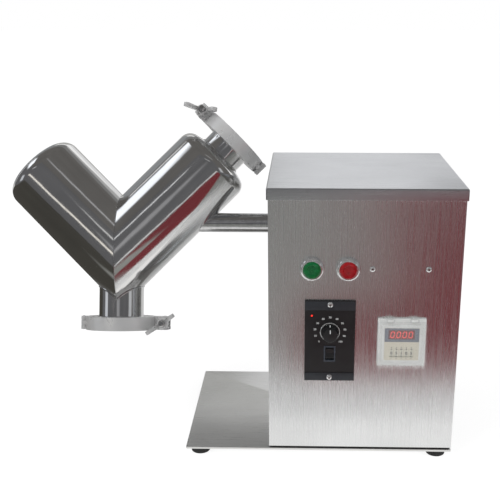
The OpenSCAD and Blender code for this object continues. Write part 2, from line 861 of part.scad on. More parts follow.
module drive_frame() {
    shelf_left = bearing_xs[0] - housing_foot_w / 2 - frame_t / 2;
    slot_half = pulley_w / 2 + 2 * pulley_side_t;
    slot_y = driven_r + belt_t + pulley_lip + frame_t;
    color("dimgray") difference() {
        union() {
            span([shelf_left, shaft_y - upright_y - frame_t, shelf_top - frame_t],
                 [frame_right, shaft_y + upright_y + frame_t, shelf_top]);
            for (sy = [-1, 1]) {
                translate([0, shaft_y + sy * (upright_y + frame_t / 2), 0])
                    span([frame_left, -frame_t / 2, plate_top],
                         [frame_right, frame_t / 2, shelf_top - frame_t]);
                translate([0, shaft_y + sy * (upright_y + frame_t + frame_foot_w / 2), 0])
                    span([frame_left, -frame_foot_w / 2, plate_top],
                         [frame_right, frame_foot_w / 2, plate_top + frame_t]);
            }
        }
        controls_room();
        span([pulley_x - slot_half, shaft_y - slot_y, shelf_top - frame_t - cut],
             [pulley_x + slot_half, shaft_y + slot_y, shelf_top + cut]);
        for (p = frame_hold_places) translate([p[0], p[1], plate_top - cut])
            cylinder(r = bolt_m / 2, h = frame_t + 2 * cut);
        for (x = bearing_xs, sy = [-1, 1])
            translate([x, shaft_y + sy * bearing_bolt_share * bearing_len, shelf_top - frame_t - cut])
                cylinder(r = bolt_m / 2, h = frame_t + 2 * cut);
    }
}

module bearing_housings() {
    color("darkslategray") for (x = bearing_xs) translate([x, shaft_y, shelf_top])
        difference() {
            union() {
                span([-housing_foot_w / 2, -bearing_len / 2, 0],
                     [housing_foot_w / 2, bearing_len / 2, housing_foot_h]);
                translate([-bearing_w / 2, 0, bearing_h]) rotate([0, 90, 0])
                    cylinder(r = insert_r + housing_wall, h = bearing_w);
            }
            translate([-bearing_w, 0, bearing_h]) rotate([0, 90, 0])
                cylinder(r = insert_r, h = 2 * bearing_w);
            for (sy = [-1, 1]) translate([0, sy * bearing_bolt_share * bearing_len, -cut])
                cylinder(r = bolt_m / 2, h = housing_foot_h + 2 * cut);
        }
}

module bearing_inserts() {
    color("gainsboro") for (x = bearing_xs) translate([x - bearing_w / 2, shaft_y, shaft_z])
        rotate([0, 90, 0]) difference() {
            cylinder(r = insert_r - fit_gap, h = bearing_w);
            translate([0, 0, -cut]) cylinder(r = shaft_r, h = bearing_w + 2 * cut);
        }
}

module shaft_seal() {
    color("whitesmoke") translate([cab_left, shaft_y, shaft_z]) rotate([0, 90, 0]) difference() {
        union() {
            translate([0, 0, -seal_flange_t]) cylinder(r = seal_flange_r, h = seal_flange_t);
            cylinder(r = seal_body_r, h = seal_l);
        }
        translate([0, 0, -seal_flange_t - cut])
            cylinder(r = shaft_r + fit_gap, h = seal_l + seal_flange_t + 2 * cut);
    }
}

gear_bolt_places = [for (sy = [-1, 1], sz = [-1, 1])
    [shaft_y + sy * gear_bolt_share * gear_side, motor_z + sz * gear_bolt_share * gear_side]];

module gearbox() {
    color("lightslategray") difference() {
        union() {
            span([gear_x, shaft_y - gear_side / 2, motor_z - gear_side / 2],
                 [motor_x, shaft_y + gear_side / 2, motor_z + gear_side / 2]);
            translate([bracket_x, shaft_y, motor_z]) rotate([0, 90, 0]) cylinder(r = boss_r, h = frame_t);
        }
        translate([bracket_x - cut, shaft_y, motor_z])
            rotate([0, 90, 0]) cylinder(r = output_r + fit_gap, h = frame_t + gear_len * 2 / 3 + cut);
        for (p = gear_bolt_places) translate([gear_x - cut, p[0], p[1]])
            rotate([0, 90, 0]) cylinder(r = bolt_m / 2, h = bolt_l - frame_t + 2 * cut);
    }
}

module motor() {
    color("black") translate([motor_x, shaft_y, motor_z]) rotate([0, 90, 0]) union() {
        cylinder(r = motor_d / 2, h = motor_len - motor_cap_h);
        translate([0, 0, motor_len - motor_cap_h])
            cylinder(r1 = motor_d / 2, r2 = motor_d / 2 - motor_cap_h / 2, h = motor_cap_h);
    }
}

module motor_bracket() {
    foot_end = motor_x - frame_t;
    color("dimgray") difference() {
        union() {
            span([bracket_x, shaft_y - gear_side / 2, plate_top],
                 [gear_x, shaft_y + gear_side / 2, motor_z + gear_side / 2]);
            span([bracket_x, shaft_y - gear_side / 2, plate_top],
                 [foot_end, shaft_y + gear_side / 2, plate_top + frame_t]);
        }
        translate([bracket_x - cut, shaft_y, motor_z])
            rotate([0, 90, 0]) cylinder(r = boss_r, h = frame_t + 2 * cut);
        for (p = gear_bolt_places) translate([bracket_x - cut, p[0], p[1]])
            rotate([0, 90, 0]) cylinder(r = bolt_m / 2, h = frame_t + 2 * cut);
    }
}

module motor_bolts() {
    color("silver") {
        for (p = gear_bolt_places) translate([bracket_x, p[0], p[1]]) rotate([0, -90, 0]) hex_bolt();
        for (x = bearing_xs, sy = [-1, 1])
            translate([x, shaft_y + sy * bearing_bolt_share * bearing_len, shelf_top + housing_foot_h])
                hex_bolt();
        for (p = frame_hold_places) translate([p[0], p[1], plate_top + frame_t]) difference() {
            hex_bolt();
            translate([0, 0, -bolt_l - cut]) cylinder(r = bolt_m, h = bolt_l + cut - frame_t - plate_t);
        }
    }
}

// Area inside an open belt round both pulleys, grown by a distance, in the plane across the shafts
module belt_area(grow) {
    span_z = shaft_z - motor_z;
    lean = asin((driven_r - driver_r) / span_z);
    big = driven_r + grow;
    small = driver_r + grow;
    circle(r = small);
    translate([0, span_z]) circle(r = big);
    polygon([[small * cos(lean), -small * sin(lean)], [big * cos(lean), span_z - big * sin(lean)],
             [-big * cos(lean), span_z - big * sin(lean)], [-small * cos(lean), -small * sin(lean)]]);
}

module drive_belt() {
    color("black") translate([pulley_x - belt_w / 2, shaft_y, motor_z])
        rotate([90, 0, 90]) linear_extrude(belt_w) difference() {
            belt_area(run_gap + belt_t);
            belt_area(run_gap);
        }
}

// Pulley with its two side lips, its axis along X and its middle at the belt
module pulley(r, bore) {
    rim = r + belt_t + pulley_lip;
    translate([pulley_x - pulley_w / 2, shaft_y, 0]) rotate([0, 90, 0]) difference() {
        union() {
            cylinder(r = r, h = pulley_w);
            cylinder(r = rim, h = pulley_side_t);
            translate([0, 0, pulley_w - pulley_side_t]) cylinder(r = rim, h = pulley_side_t);
        }
        translate([0, 0, -cut]) cylinder(r = bore, h = pulley_w + 2 * cut);
    }
}

module driven_pulley() {
    color("gainsboro") translate([0, 0, shaft_z]) pulley(driven_r, shaft_r);
}

module motor_pulley() {
    color("gainsboro") {
        translate([0, 0, motor_z]) pulley(driver_r, output_r - shaft_lap);
        translate([pulley_x - pulley_w / 2, shaft_y, motor_z]) rotate([0, 90, 0])
            cylinder(r = output_r, h = pulley_w + bracket_x - pulley_x + gear_len / 2);
    }
}

body_w = speed_w - 2 * body_inset;
body_h = speed_h - 2 * (strip_top + run_gap);
speed_screw_z = speed_h / 2 - speed_screw_set;

module rocker_window(extra) {
    span([speed_cx - rocker_w / 2 - extra, cab_front - 2 * panel_t, rocker_cz - rocker_h / 2 - extra],
         [speed_cx + rocker_w / 2 + extra, front_in + speed_depth / 2, rocker_cz + rocker_h / 2 + extra]);
}

module speed_panel() {
    color("black") difference() {
        union() {
            span([speed_cx - speed_w / 2, cab_front - panel_t, speed_cz - speed_h / 2],
                 [speed_cx + speed_w / 2, cab_front, speed_cz + speed_h / 2]);
            span([speed_cx - speed_w / 2, cab_front - panel_t - strip_step,
                  speed_cz + speed_h / 2 - strip_top],
                 [speed_cx + speed_w / 2, cab_front - panel_t, speed_cz + speed_h / 2]);
            span([speed_cx - speed_w / 2, cab_front - panel_t - strip_step, speed_cz - speed_h / 2],
                 [speed_cx + speed_w / 2, cab_front - panel_t, speed_cz - speed_h / 2 + strip_low]);
        }
        for (sz = [-1, 1]) translate([speed_cx, cab_front - 2 * panel_t, speed_cz + sz * speed_screw_z])
            rotate([-90, 0, 0]) cylinder(r = screw_r, h = 3 * panel_t);
        translate([speed_cx, cab_front - 2 * panel_t, knob_cz])
            rotate([-90, 0, 0]) cylinder(r = knob_boss_r + fit_gap, h = 3 * panel_t);
        rocker_window(rocker_frame / 2);
    }
}

module speed_body() {
    color("dimgray") difference() {
        span([speed_cx - body_w / 2, cab_front, speed_cz - body_h / 2],
             [speed_cx + body_w / 2, front_in + speed_depth, speed_cz + body_h / 2]);
        translate([speed_cx, cab_front - cut, knob_cz])
            rotate([-90, 0, 0]) cylinder(r = knob_boss_r + fit_gap, h = knob_h + cut);
        rocker_window(rocker_frame / 2);
    }
}

module speed_screws() {
    color("silver") for (sz = [-1, 1])
        translate([speed_cx, cab_front - panel_t - strip_step, speed_cz + sz * speed_screw_z])
            rotate([90, 0, 0]) dome_screw(screw_l);
}

module speed_knob() {
    color("black") translate([speed_cx, cab_front - panel_t - run_gap, knob_cz]) rotate([90, 0, 0]) {
        cylinder(r = knob_d / 2, h = knob_skirt_h);
        translate([0, 0, knob_skirt_h])
            cylinder(r1 = knob_d / 2 - knob_step, r2 = knob_d / 2 - knob_step - knob_draft,
                     h = knob_h - knob_skirt_h);
        translate([0, 0, -knob_h]) cylinder(r = knob_boss_r, h = knob_h);
    }
}

module rocker_bezel() {
    side = rocker_frame / 2;
    color("darkslategray") difference() {
        union() {
            span([speed_cx - rocker_w / 2 - rocker_frame, cab_front - panel_t - rocker_proud / 2,
                  rocker_cz - rocker_h / 2 - rocker_frame],
                 [speed_cx + rocker_w / 2 + rocker_frame, cab_front - panel_t,
                  rocker_cz + rocker_h / 2 + rocker_frame]);
            span([speed_cx - rocker_w / 2 - side, cab_front - panel_t, rocker_cz - rocker_h / 2 - side],
                 [speed_cx + rocker_w / 2 + side, front_in + speed_depth / 2 - rocker_frame,
                  rocker_cz + rocker_h / 2 + side]);
        }
        span([speed_cx - rocker_w / 2, cab_front - 2 * panel_t, rocker_cz - rocker_h / 2],
             [speed_cx + rocker_w / 2, front_in + speed_depth / 3, rocker_cz + rocker_h / 2]);
        translate([speed_cx - rocker_w, rocker_pivot_y, rocker_cz])
            rotate([0, 90, 0]) cylinder(r = rocker_pin_r + fit_gap, h = 2 * rocker_w);
    }
}

// Rocker with two faces that meet in a shallow V, resting with its upper half pressed in
module rocker_switch() {
    color("black") translate([speed_cx, rocker_pivot_y, rocker_cz]) {
        rotate([90, 0, 90]) translate([0, 0, -rocker_w / 2 + run_gap])
            linear_extrude(rocker_w - 2 * run_gap) intersection() {
                circle(r = rocker_r);
                union() {
                    translate([-rocker_face, 0]) square([2 * rocker_face, rocker_h]);
                    rotate(-2 * rocker_tilt) translate([-rocker_face, -rocker_h])
                        square([2 * rocker_face, rocker_h]);
                }
            }
        rotate([0, 90, 0]) translate([0, 0, -rocker_w / 2 - rocker_frame / 4])
            cylinder(r = rocker_pin_r, h = rocker_w + rocker_frame / 2);
    }
}

// A bezel passes through the panel's hole and is held by its nut inside
module button_bezel(cx) {
    color("silver") translate([cx, cab_front, buttons_cz]) rotate([90, 0, 0]) difference() {
        union() {
            cylinder(r = bezel_d / 2, h = bezel_t);
            translate([0, 0, bezel_t])
                cylinder(r1 = bezel_d / 2, r2 = bezel_d / 2 - bezel_t, h = bezel_h - bezel_t);
            translate([0, 0, -barrel_l]) cylinder(r = button_hole_r, h = barrel_l);
            translate([0, 0, -sheet_t - nut_w]) cylinder(r = bezel_d / 2 - bezel_t, h = nut_w, $fn = 12);
        }
        translate([0, 0, -barrel_l - cut]) cylinder(r = stem_r + fit_gap, h = barrel_l);
        translate([0, 0, -button_travel - lens_seat]) cylinder(r = lens_r + fit_gap, h = 2 * barrel_l);
    }
}

// The lens and the stem behind it
module push_button(cx) {
    translate([cx, cab_front, buttons_cz]) rotate([90, 0, 0]) {
        translate([0, 0, bezel_h + lens_proud - lens_h]) cylinder(r = lens_r, h = lens_h - lens_round);
        translate([0, 0, bezel_h + lens_proud - lens_round])
            cylinder(r1 = lens_r, r2 = lens_r - lens_round, h = lens_round);
        translate([0, 0, -barrel_l + button_travel])
            cylinder(r = stem_r, h = barrel_l - button_travel + bezel_h + lens_proud - lens_h);
    }
}

module green_bezel() {
    button_bezel(green_cx);
}

module red_bezel() {
    button_bezel(red_cx);
}

module green_button() {
    color("green") push_button(green_cx);
}

module red_button() {
    color("red") push_button(red_cx);
}

module contact_blocks() {
    color("dimgray") for (cx = [green_cx, red_cx])
        span([cx - contact_w / 2, cab_front + barrel_l, buttons_cz - contact_h / 2],
             [cx + contact_w / 2, cab_front + barrel_l + contact_l, buttons_cz + contact_h / 2]);
}

module panel_screws() {
    color("silver") for (x = dome_xs) translate([x, cab_front, buttons_cz])
        rotate([90, 0, 0]) dome_screw(sheet_t + rail_t);
}

// A rail on the inside of the front, held by the two dome-headed screws, with its terminals
module terminal_rail() {
    mid = (dome_xs[0] + dome_xs[1]) / 2;
    color("khaki") difference() {
        union() {
            span([dome_xs[0] - rail_over, front_in, buttons_cz - rail_h / 2],
                 [dome_xs[1] + rail_over, front_in + rail_t, buttons_cz + rail_h / 2]);
            span([mid - block_w / 2, front_in + rail_t, buttons_cz - block_h / 2],
                 [mid + block_w / 2, front_in + rail_t + block_d, buttons_cz + block_h / 2]);
        }
        for (x = dome_xs) translate([x, front_in - cut, buttons_cz])
            rotate([-90, 0, 0]) cylinder(r = screw_r, h = rail_t + 2 * cut);
    }
}

// The motor's capacitor lies in a saddle on the base plate beside the motor
module capacitor() {
    cap_y = shaft_y - motor_d / 2 - cap_r - flange_w;
    color("lightsteelblue") {
        translate([motor_x + flange_w, cap_y, plate_top + frame_t + cap_r])
            rotate([0, 90, 0]) cylinder(r = cap_r, h = cap_l);
        difference() {
            span([motor_x + 2 * flange_w, cap_y - cap_r, plate_top],
                 [motor_x + 3 * flange_w, cap_y + cap_r, plate_top + frame_t + cap_r / 2]);
            translate([motor_x + flange_w, cap_y, plate_top + frame_t + cap_r])
                rotate([0, 90, 0]) cylinder(r = cap_r, h = cap_l);
        }
    }
}

// Block about the middle of the power inlet, its opening grown by an edge, between two depths
module inlet_block(edge, front, back) {
    span([inlet_cx - inlet_w / 2 - edge, front, inlet_cz - inlet_h / 2 - edge],
         [inlet_cx + inlet_w / 2 + edge, back, inlet_cz + inlet_h / 2 + edge]);
}

module power_inlet() {
    color("black") difference() {
        union() {
            inlet_block(inlet_lip, cab_back, cab_back + pocket_wall);
            inlet_block(0, cab_back - inlet_depth, cab_back);
        }
        inlet_block(-pocket_wall, cab_back + pocket_wall - pocket_d, cab_back + pocket_wall + cut);
    }
}

// Lid: a shallow pan over the shell
module top_lid() {
    over = lid_gap + sheet_t;
    color("lightgray") difference() {
        span([cab_left - over, cab_front - over, cab_top - skirt_h],
             [cab_right + over, cab_back + over, cab_top]);
        span([cab_left - lid_gap, cab_front - lid_gap, cab_top - skirt_h - cut],
             [cab_right + lid_gap, cab_back + lid_gap, shell_top]);
    }
}

// Round rod along the timer cover's hinge line
module hinge_rod(r, len) {
    translate([-len / 2, hinge_y, hinge_z]) rotate([0, 90, 0]) cylinder(r = r, h = len);
}

// Timer: body through the panel, front rim, and the frame that the clear cover hangs on
module timer_housing() {
    out = cab_front - frame_ring_t;
    color("whitesmoke") difference() {
        union() {
            span([timer_cx - timer_neck / 2, cab_front, timer_cz - timer_neck / 2],
                 [timer_cx + timer_neck / 2, front_in + timer_depth, timer_cz + timer_neck / 2]);
            span([timer_cx - timer_side / 2, cab_front - timer_proud, timer_cz - timer_side / 2],
                 [timer_cx + timer_side / 2, cab_front, timer_cz + timer_side / 2]);
            span([timer_cx - cover_w / 2, out, timer_cz - cover_h / 2],
                 [timer_cx + cover_w / 2, cab_front, timer_cz + cover_h / 2 + 2 * hinge_r]);
            for (s = [-1, 1]) translate([timer_cx + s * cover_w / 4, 0, 0]) {
                span([-hinge_l / 2, hinge_y, hinge_z - hinge_r], [hinge_l / 2, out, hinge_z + hinge_r]);
                hinge_rod(hinge_r, hinge_l);
                hinge_rod(hinge_pin_r, 2 * hinge_l);
            }
        }
        // Recess of the face plate, and the pocket of the digit wheels behind it
        span([timer_cx - timer_side / 2 + timer_rim, cab_front - timer_proud - cut,
              timer_cz - timer_side / 2 + timer_rim],
             [timer_cx + timer_side / 2 - timer_rim, cab_front - timer_proud + face_t,
              timer_cz + timer_side / 2 - timer_rim]);
        difference() {
            span([timer_cx - wheels_half, cab_front - timer_proud - cut, wheels_cz - wheel_r - run_gap],
                 [timer_cx + wheels_half, wheel_cy + wheel_r + run_gap, wheels_cz + wheel_r + run_gap]);
            translate([timer_cx - wheels_half, wheel_cy, wheels_cz])
                rotate([0, 90, 0]) cylinder(r = axle_r, h = 2 * wheels_half);
        }
    }
}

// Face plate with the windows of the display and of the digit wheels
module timer_face() {
    half = timer_side / 2 - timer_rim;
    slot_half = wheel_t / 2 + run_gap / 2;
    // The wheels are widest in their windows at the back of the face plate
    slot_z = sqrt(pow(wheel_r, 2) - pow(wheel_r - wheel_proud - face_t, 2)) + run_gap;
    color("steelblue") difference() {
        span([timer_cx - half, cab_front - timer_proud, timer_cz - half],
             [timer_cx + half, cab_front - timer_proud + face_t, timer_cz + half]);
        for (i = [-2:2]) span([timer_cx + i * wheel_pitch - slot_half, cab_front - timer_proud - cut,
                               wheels_cz - slot_z],
                              [timer_cx + i * wheel_pitch + slot_half, front_in, wheels_cz + slot_z]);
    }
}

module digit_wheel(i) {
    color("beige") translate([timer_cx + (i - 3) * wheel_pitch - wheel_t / 2, wheel_cy, wheels_cz])
        rotate([0, 90, 0]) difference() {
            cylinder(r = wheel_r, h = wheel_t, $fn = 40);
            translate([0, 0, -cut]) cylinder(r = axle_r + fit_gap, h = wheel_t + 2 * cut);
        }
}

module digit_wheel_1() {
    digit_wheel(1);
}

module digit_wheel_2() {
    digit_wheel(2);
}

module digit_wheel_3() {
    digit_wheel(3);
}

module digit_wheel_4() {
    digit_wheel(4);
}

module digit_wheel_5() {
    digit_wheel(5);
}

// Clear cover: an open box over the timer's front, hung on two pins at its top edge
module timer_cover() {
    back = cab_front - frame_ring_t - run_gap;
    front = cab_front - cover_d;
    top = timer_cz + cover_h / 2 - run_gap;
    half = cover_w / 2 - run_gap;
    ear_w = hinge_l / 3;
    color("aliceblue") difference() {
        union() {
            difference() {
                span([timer_cx - half, front, timer_cz - cover_h / 2], [timer_cx + half, back, top]);
                span([timer_cx - half + cover_t, front + cover_t, timer_cz - cover_h / 2 + cover_t],
                     [timer_cx + half - cover_t, back + cut, top - cover_t]);
            }
            for (s = [-1, 1], e = [-1, 1])
                translate([timer_cx + s * cover_w / 4 + e * (hinge_l / 2 + run_gap + ear_w / 2), 0, 0]) {
                    hinge_rod(hinge_r, ear_w);
                    span([-ear_w / 2, hinge_y - hinge_r, top - cover_t],
                         [ear_w / 2, hinge_y + hinge_r, hinge_z]);
                }
        }
        for (s = [-1, 1]) translate([timer_cx + s * cover_w / 4, 0, 0])
            hinge_rod(hinge_pin_r + fit_gap, 4 * hinge_l);
    }
}

base_plate();
rubber_feet();
foot_screws();
sealing_strip();
cabinet_shell();
rear_panel();
rear_screws();
cabinet_bolts();
drive_frame();
bearing_housings();
shaft_seal();
gearbox();
motor();
motor_bracket();
motor_bolts();
drive_belt();
speed_panel();
speed_body();
speed_screws();
rocker_bezel();
timer_housing();
timer_face();
green_bezel();
red_bezel();
contact_blocks();
panel_screws();
terminal_rail();
capacitor();
power_inlet();
top_lid();
green_button();
red_button();
speed_knob();
rocker_switch();
digit_wheel_1();
digit_wheel_2();
digit_wheel_3();
digit_wheel_4();
digit_wheel_5();
timer_cover();
left_leg();
right_leg();
left_end_cap();
right_end_cap();
inlet_neck();
outlet_neck();
gaskets();
inlet_cap();
outlet_cap();
inlet_clamp();
outlet_clamp();
clamp_pins();
main_shaft();
driven_pulley();
bearing_inserts();
inlet_bolt();
inlet_nut();
outlet_bolt();
outlet_nut();
motor_pulley();
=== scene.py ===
"""Looks of a laboratory V-blender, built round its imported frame.

Lengths of the part are in millimetres up to the helpers that use them, those of the studio in metres.
"""
import json
import math
from collections import namedtuple

import bmesh
import bpy
from mathutils import Matrix, Vector

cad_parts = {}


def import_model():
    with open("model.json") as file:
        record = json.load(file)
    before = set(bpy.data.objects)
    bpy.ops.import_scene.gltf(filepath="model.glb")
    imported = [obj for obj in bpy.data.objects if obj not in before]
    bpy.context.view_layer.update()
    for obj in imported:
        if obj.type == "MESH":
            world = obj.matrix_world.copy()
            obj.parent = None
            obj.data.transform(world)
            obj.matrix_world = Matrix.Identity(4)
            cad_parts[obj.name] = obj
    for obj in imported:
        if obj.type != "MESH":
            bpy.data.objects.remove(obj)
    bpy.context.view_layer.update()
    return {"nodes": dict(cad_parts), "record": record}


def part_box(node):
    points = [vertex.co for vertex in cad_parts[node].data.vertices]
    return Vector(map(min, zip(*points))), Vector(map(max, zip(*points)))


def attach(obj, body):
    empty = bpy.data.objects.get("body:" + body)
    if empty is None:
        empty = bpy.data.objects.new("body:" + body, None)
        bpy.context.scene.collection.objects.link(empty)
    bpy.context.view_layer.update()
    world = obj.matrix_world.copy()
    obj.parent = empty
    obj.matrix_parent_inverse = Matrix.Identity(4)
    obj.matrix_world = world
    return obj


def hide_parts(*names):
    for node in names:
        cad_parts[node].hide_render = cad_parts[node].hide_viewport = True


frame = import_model()

MM = 0.001
Point = namedtuple("Point", "x y z")


def in_mm(metres):
    return Point(*(value / MM for value in metres))


def box(node):
    """The low and high corners of a CAD node at rest."""
    return [in_mm(corner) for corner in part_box(node)]


def middle(node):
    return Point(*((low + high) / 2 for low, high in zip(*box(node))))


def at(x, y, z, turn=0, axis="X"):
    """A place, turned by degrees about one of its axes."""
    return Matrix.Translation((x * MM, y * MM, z * MM)) @ Matrix.Rotation(math.radians(turn), 4, axis)


# Drum sizes, as the frame holds them
LEG_R = 52
LEFT_LEN = 163.5
RIGHT_LEN = 181.5
KNUCKLE_R = 16
CROWN_R = 150
SHEET = 2
JOINT_DROP = 39
DRUM_REACH = 194.7
HALF_VEE = 45
PARK_TILT = 19
NECK_R = 28.5
INLET_FACE = 204
OUTLET_FACE = 92.539
BOLT_REACH = 56
PIVOT_SET = 9
BOLT_R = 4

# Places read from the frame
SHELL_LOW = box("cabinet_shell")[0]
PLATE_LOW, PLATE_HIGH = box("base_plate")
SHAFT = next(in_mm(joint["pos_m"]) for joint in frame["record"]["behaviour"]["joints"]
             if joint["name"] == "drum_spin")
FRONT_Y = SHELL_LOW.y
TO_FRONT, TO_BACK = 90, -90

DRUM = at(SHELL_LOW.x - DRUM_REACH, SHAFT.y, SHAFT.z, -PARK_TILT) @ at(0, 0, -JOINT_DROP)
RIGHT_LEG = DRUM @ at(0, 0, 0, HALF_VEE, "Y")
LEFT_LEG = DRUM @ at(0, 0, 0, -HALF_VEE, "Y")
AT_INLET = RIGHT_LEG @ at(0, 0, INLET_FACE, 180, "Z")
AT_OUTLET = DRUM @ at(0, 0, -OUTLET_FACE, 180)

CABINET = "cabinet"
DRUM_BODY = "drum"


# Finishes

LOOK = {}
NOISE_LOW, NOISE_HIGH = 0.3, 0.7


def wire(tree, kind, inputs=None, **settings):
    """Adds a shader node. Each input is a value, an output, or a node that feeds its first output."""
    made = tree.nodes.new("ShaderNode" + kind)
    for key, value in settings.items():
        setattr(made, key, value)
    for key, value in (inputs or {}).items():
        if isinstance(value, bpy.types.Node):
            value = value.outputs[0]
        if isinstance(value, bpy.types.NodeSocket):
            tree.links.new(value, made.inputs[key])
        else:
            made.inputs[key].default_value = value
    return made


class Paint:
    """A finish under construction, kept in LOOK by its name.

    Each noise is a scale, a detail and, where they differ, its stretch along the axes and its roughness.
    """

    def __init__(self, name, colour, rough, metal=0.0, more=None):
        self.material = LOOK[name] = bpy.data.materials.new(name)
        self.material.use_nodes = True
        self.tree = self.material.node_tree
        self.bsdf = self.tree.nodes["Principled BSDF"]
        plain = {"Base Color": (*colour, 1), "Metallic": metal, "Roughness": rough}
        for socket, value in {**plain, **(more or {})}.items():
            self.bsdf.inputs[socket].default_value = value

    def feed(self, output, socket):
        self.tree.links.new(output, self.bsdf.inputs[socket])
        return output

    def noise(self, scale, detail, stretch=(1, 1, 1), rough=0.55):
        """Noise in the object's own coordinates."""
        where = wire(self.tree, "TexCoord").outputs["Object"]
        placed = wire(self.tree, "Mapping", {"Scale": stretch, "Vector": where}).outputs["Vector"]
        inputs = {"Scale": scale, "Detail": detail, "Roughness": rough, "Vector": placed}
        return wire(self.tree, "TexNoise", inputs).outputs["Fac"]

    def between(self, noise, low, high):
        """The common range of a noise, moved to another range."""
        ends = {"From Min": NOISE_LOW, "From Max": NOISE_HIGH, "To Min": low, "To Max": high}
        return wire(self.tree, "MapRange", {"Value": self.noise(*noise), **ends}).outputs["Result"]

    def wear(self, noise, low, high):
        self.feed(self.between(noise, low, high), "Roughness")

    def cloud(self, noise, dark, light):
        inputs = {"A": (*dark, 1), "B": (*light, 1), "Factor": self.between(noise, 0, 1)}
        self.feed(wire(self.tree, "Mix", inputs, data_type="RGBA").outputs["Result"], "Base Color")

    def relief(self, noise, depth, under=None):
        """Raises the skin by a noise, on top of another relief where there is one."""
        inputs = {"Distance": depth * MM, "Height": self.noise(*noise)}
        if under is not None:
            inputs["Normal"] = under
        return self.feed(wire(self.tree, "Bump", inputs).outputs["Normal"], "Normal")


def grey(level, tint=(1, 1, 1)):
    return tuple(level * part for part in tint)


def toned(colour, share, lift=0.0):
    """A colour made darker or lighter."""
    return tuple(min(1, part * share + lift) for part in colour)


def polished(name, level=0.8, rough=0.07):
    """Mirror-polished sheet with faint waves from forming and fine buffing marks."""
    made = Paint(name, grey(level), rough, 1)
    fine = (900, 3, (1, 1, 0.12))
    made.wear(fine, rough * 0.7, rough * 1.8)
    made.cloud((14, 2), grey(level * 0.93), grey(level * 1.06, (1, 0.995, 0.98)))
    made.relief(fine, 0.004, made.relief((22, 1), 0.3))


def brushed(name, level, rough, stretch, tint, depth=0.012):
    """Sheet with a fine grain along one direction, given by the stretch of its noise."""
    made = Paint(name, grey(level, tint), rough, 1)
    grain = (1, 5, stretch, 0.7)
    made.wear(grain, rough * 0.8, rough * 1.3)
    made.cloud((9, 3), grey(level * 0.95, tint), grey(level * 1.05, tint))
    made.relief(grain, depth)


def cast(name, level=0.7, rough=0.3):
    """Casting with a satin shine and a softly uneven skin."""
    made = Paint(name, grey(level, (1, 1, 0.985)), rough, 0.5)
    made.wear((60, 1), rough * 0.85, rough * 1.15)
    made.cloud((40, 1), grey(level * 0.95), grey(level * 1.05))
    made.relief((500, 2), 0.006)


def bright(name, level=0.7, rough=0.12, metal=1.0):
    """Turned and plated steel, for screws and pins."""
    made = Paint(name, grey(level), rough, metal)
    marks = (1500, 3)
    made.wear(marks, rough * 0.6, rough * 1.8)
    made.cloud((200, 2), grey(level * 0.9), grey(level * 1.05))
    made.relief(marks, 0.008)


def moulded(name, colour, rough=0.5, grain=0.03, variation=0.12):
    """Plastic, rubber or print with a fine grain and slight unevenness."""
    made = Paint(name, colour, rough)
    made.wear((90, 4), rough * 0.85, min(1.0, rough * 1.2))
    made.cloud((40, 3), toned(colour, 1 - variation), toned(colour, 1 + variation, 0.002))
    made.relief((1800, 3), grain)


def painted(name, colour, rough=0.4):
    """Sprayed paint with a slight orange peel."""
    made = Paint(name, colour, rough, more={"Coat Weight": 0.15})
    made.wear((30, 4), rough * 0.8, rough * 1.25)
    made.cloud((12, 4), toned(colour, 0.9), toned(colour, 1.12))
    made.relief((500, 2), 0.05)


def lens(name, colour):
    """Lens of a lit push button."""
    made = Paint(name, colour, 0.12, more={"Transmission Weight": 0.35, "IOR": 1.49, "Coat Weight": 0.5,
                                           "Emission Color": (*colour, 1), "Emission Strength": 0.25})
    made.cloud((160, 3), toned(colour, 0.6), toned(colour, 1.3))
    made.relief((700, 2), 0.03)


def clear(name):
    """Clear cover with a glossy face."""
    made = Paint(name, (0.93, 0.96, 0.95), 0.05, more={"Alpha": 0.1, "IOR": 1.46, "Coat Weight": 0.6})
    haze = (300, 3)
    made.wear(haze, 0.03, 0.1)
    made.relief(haze, 0.006)


def lit(name, colour, strength):
    """A lamp, or the bars of a display."""
    made = Paint(name, colour, 0.4, more={"Emission Color": (*colour, 1), "Emission Strength": strength})
    made.cloud((400, 2), toned(colour, 0.85), colour)


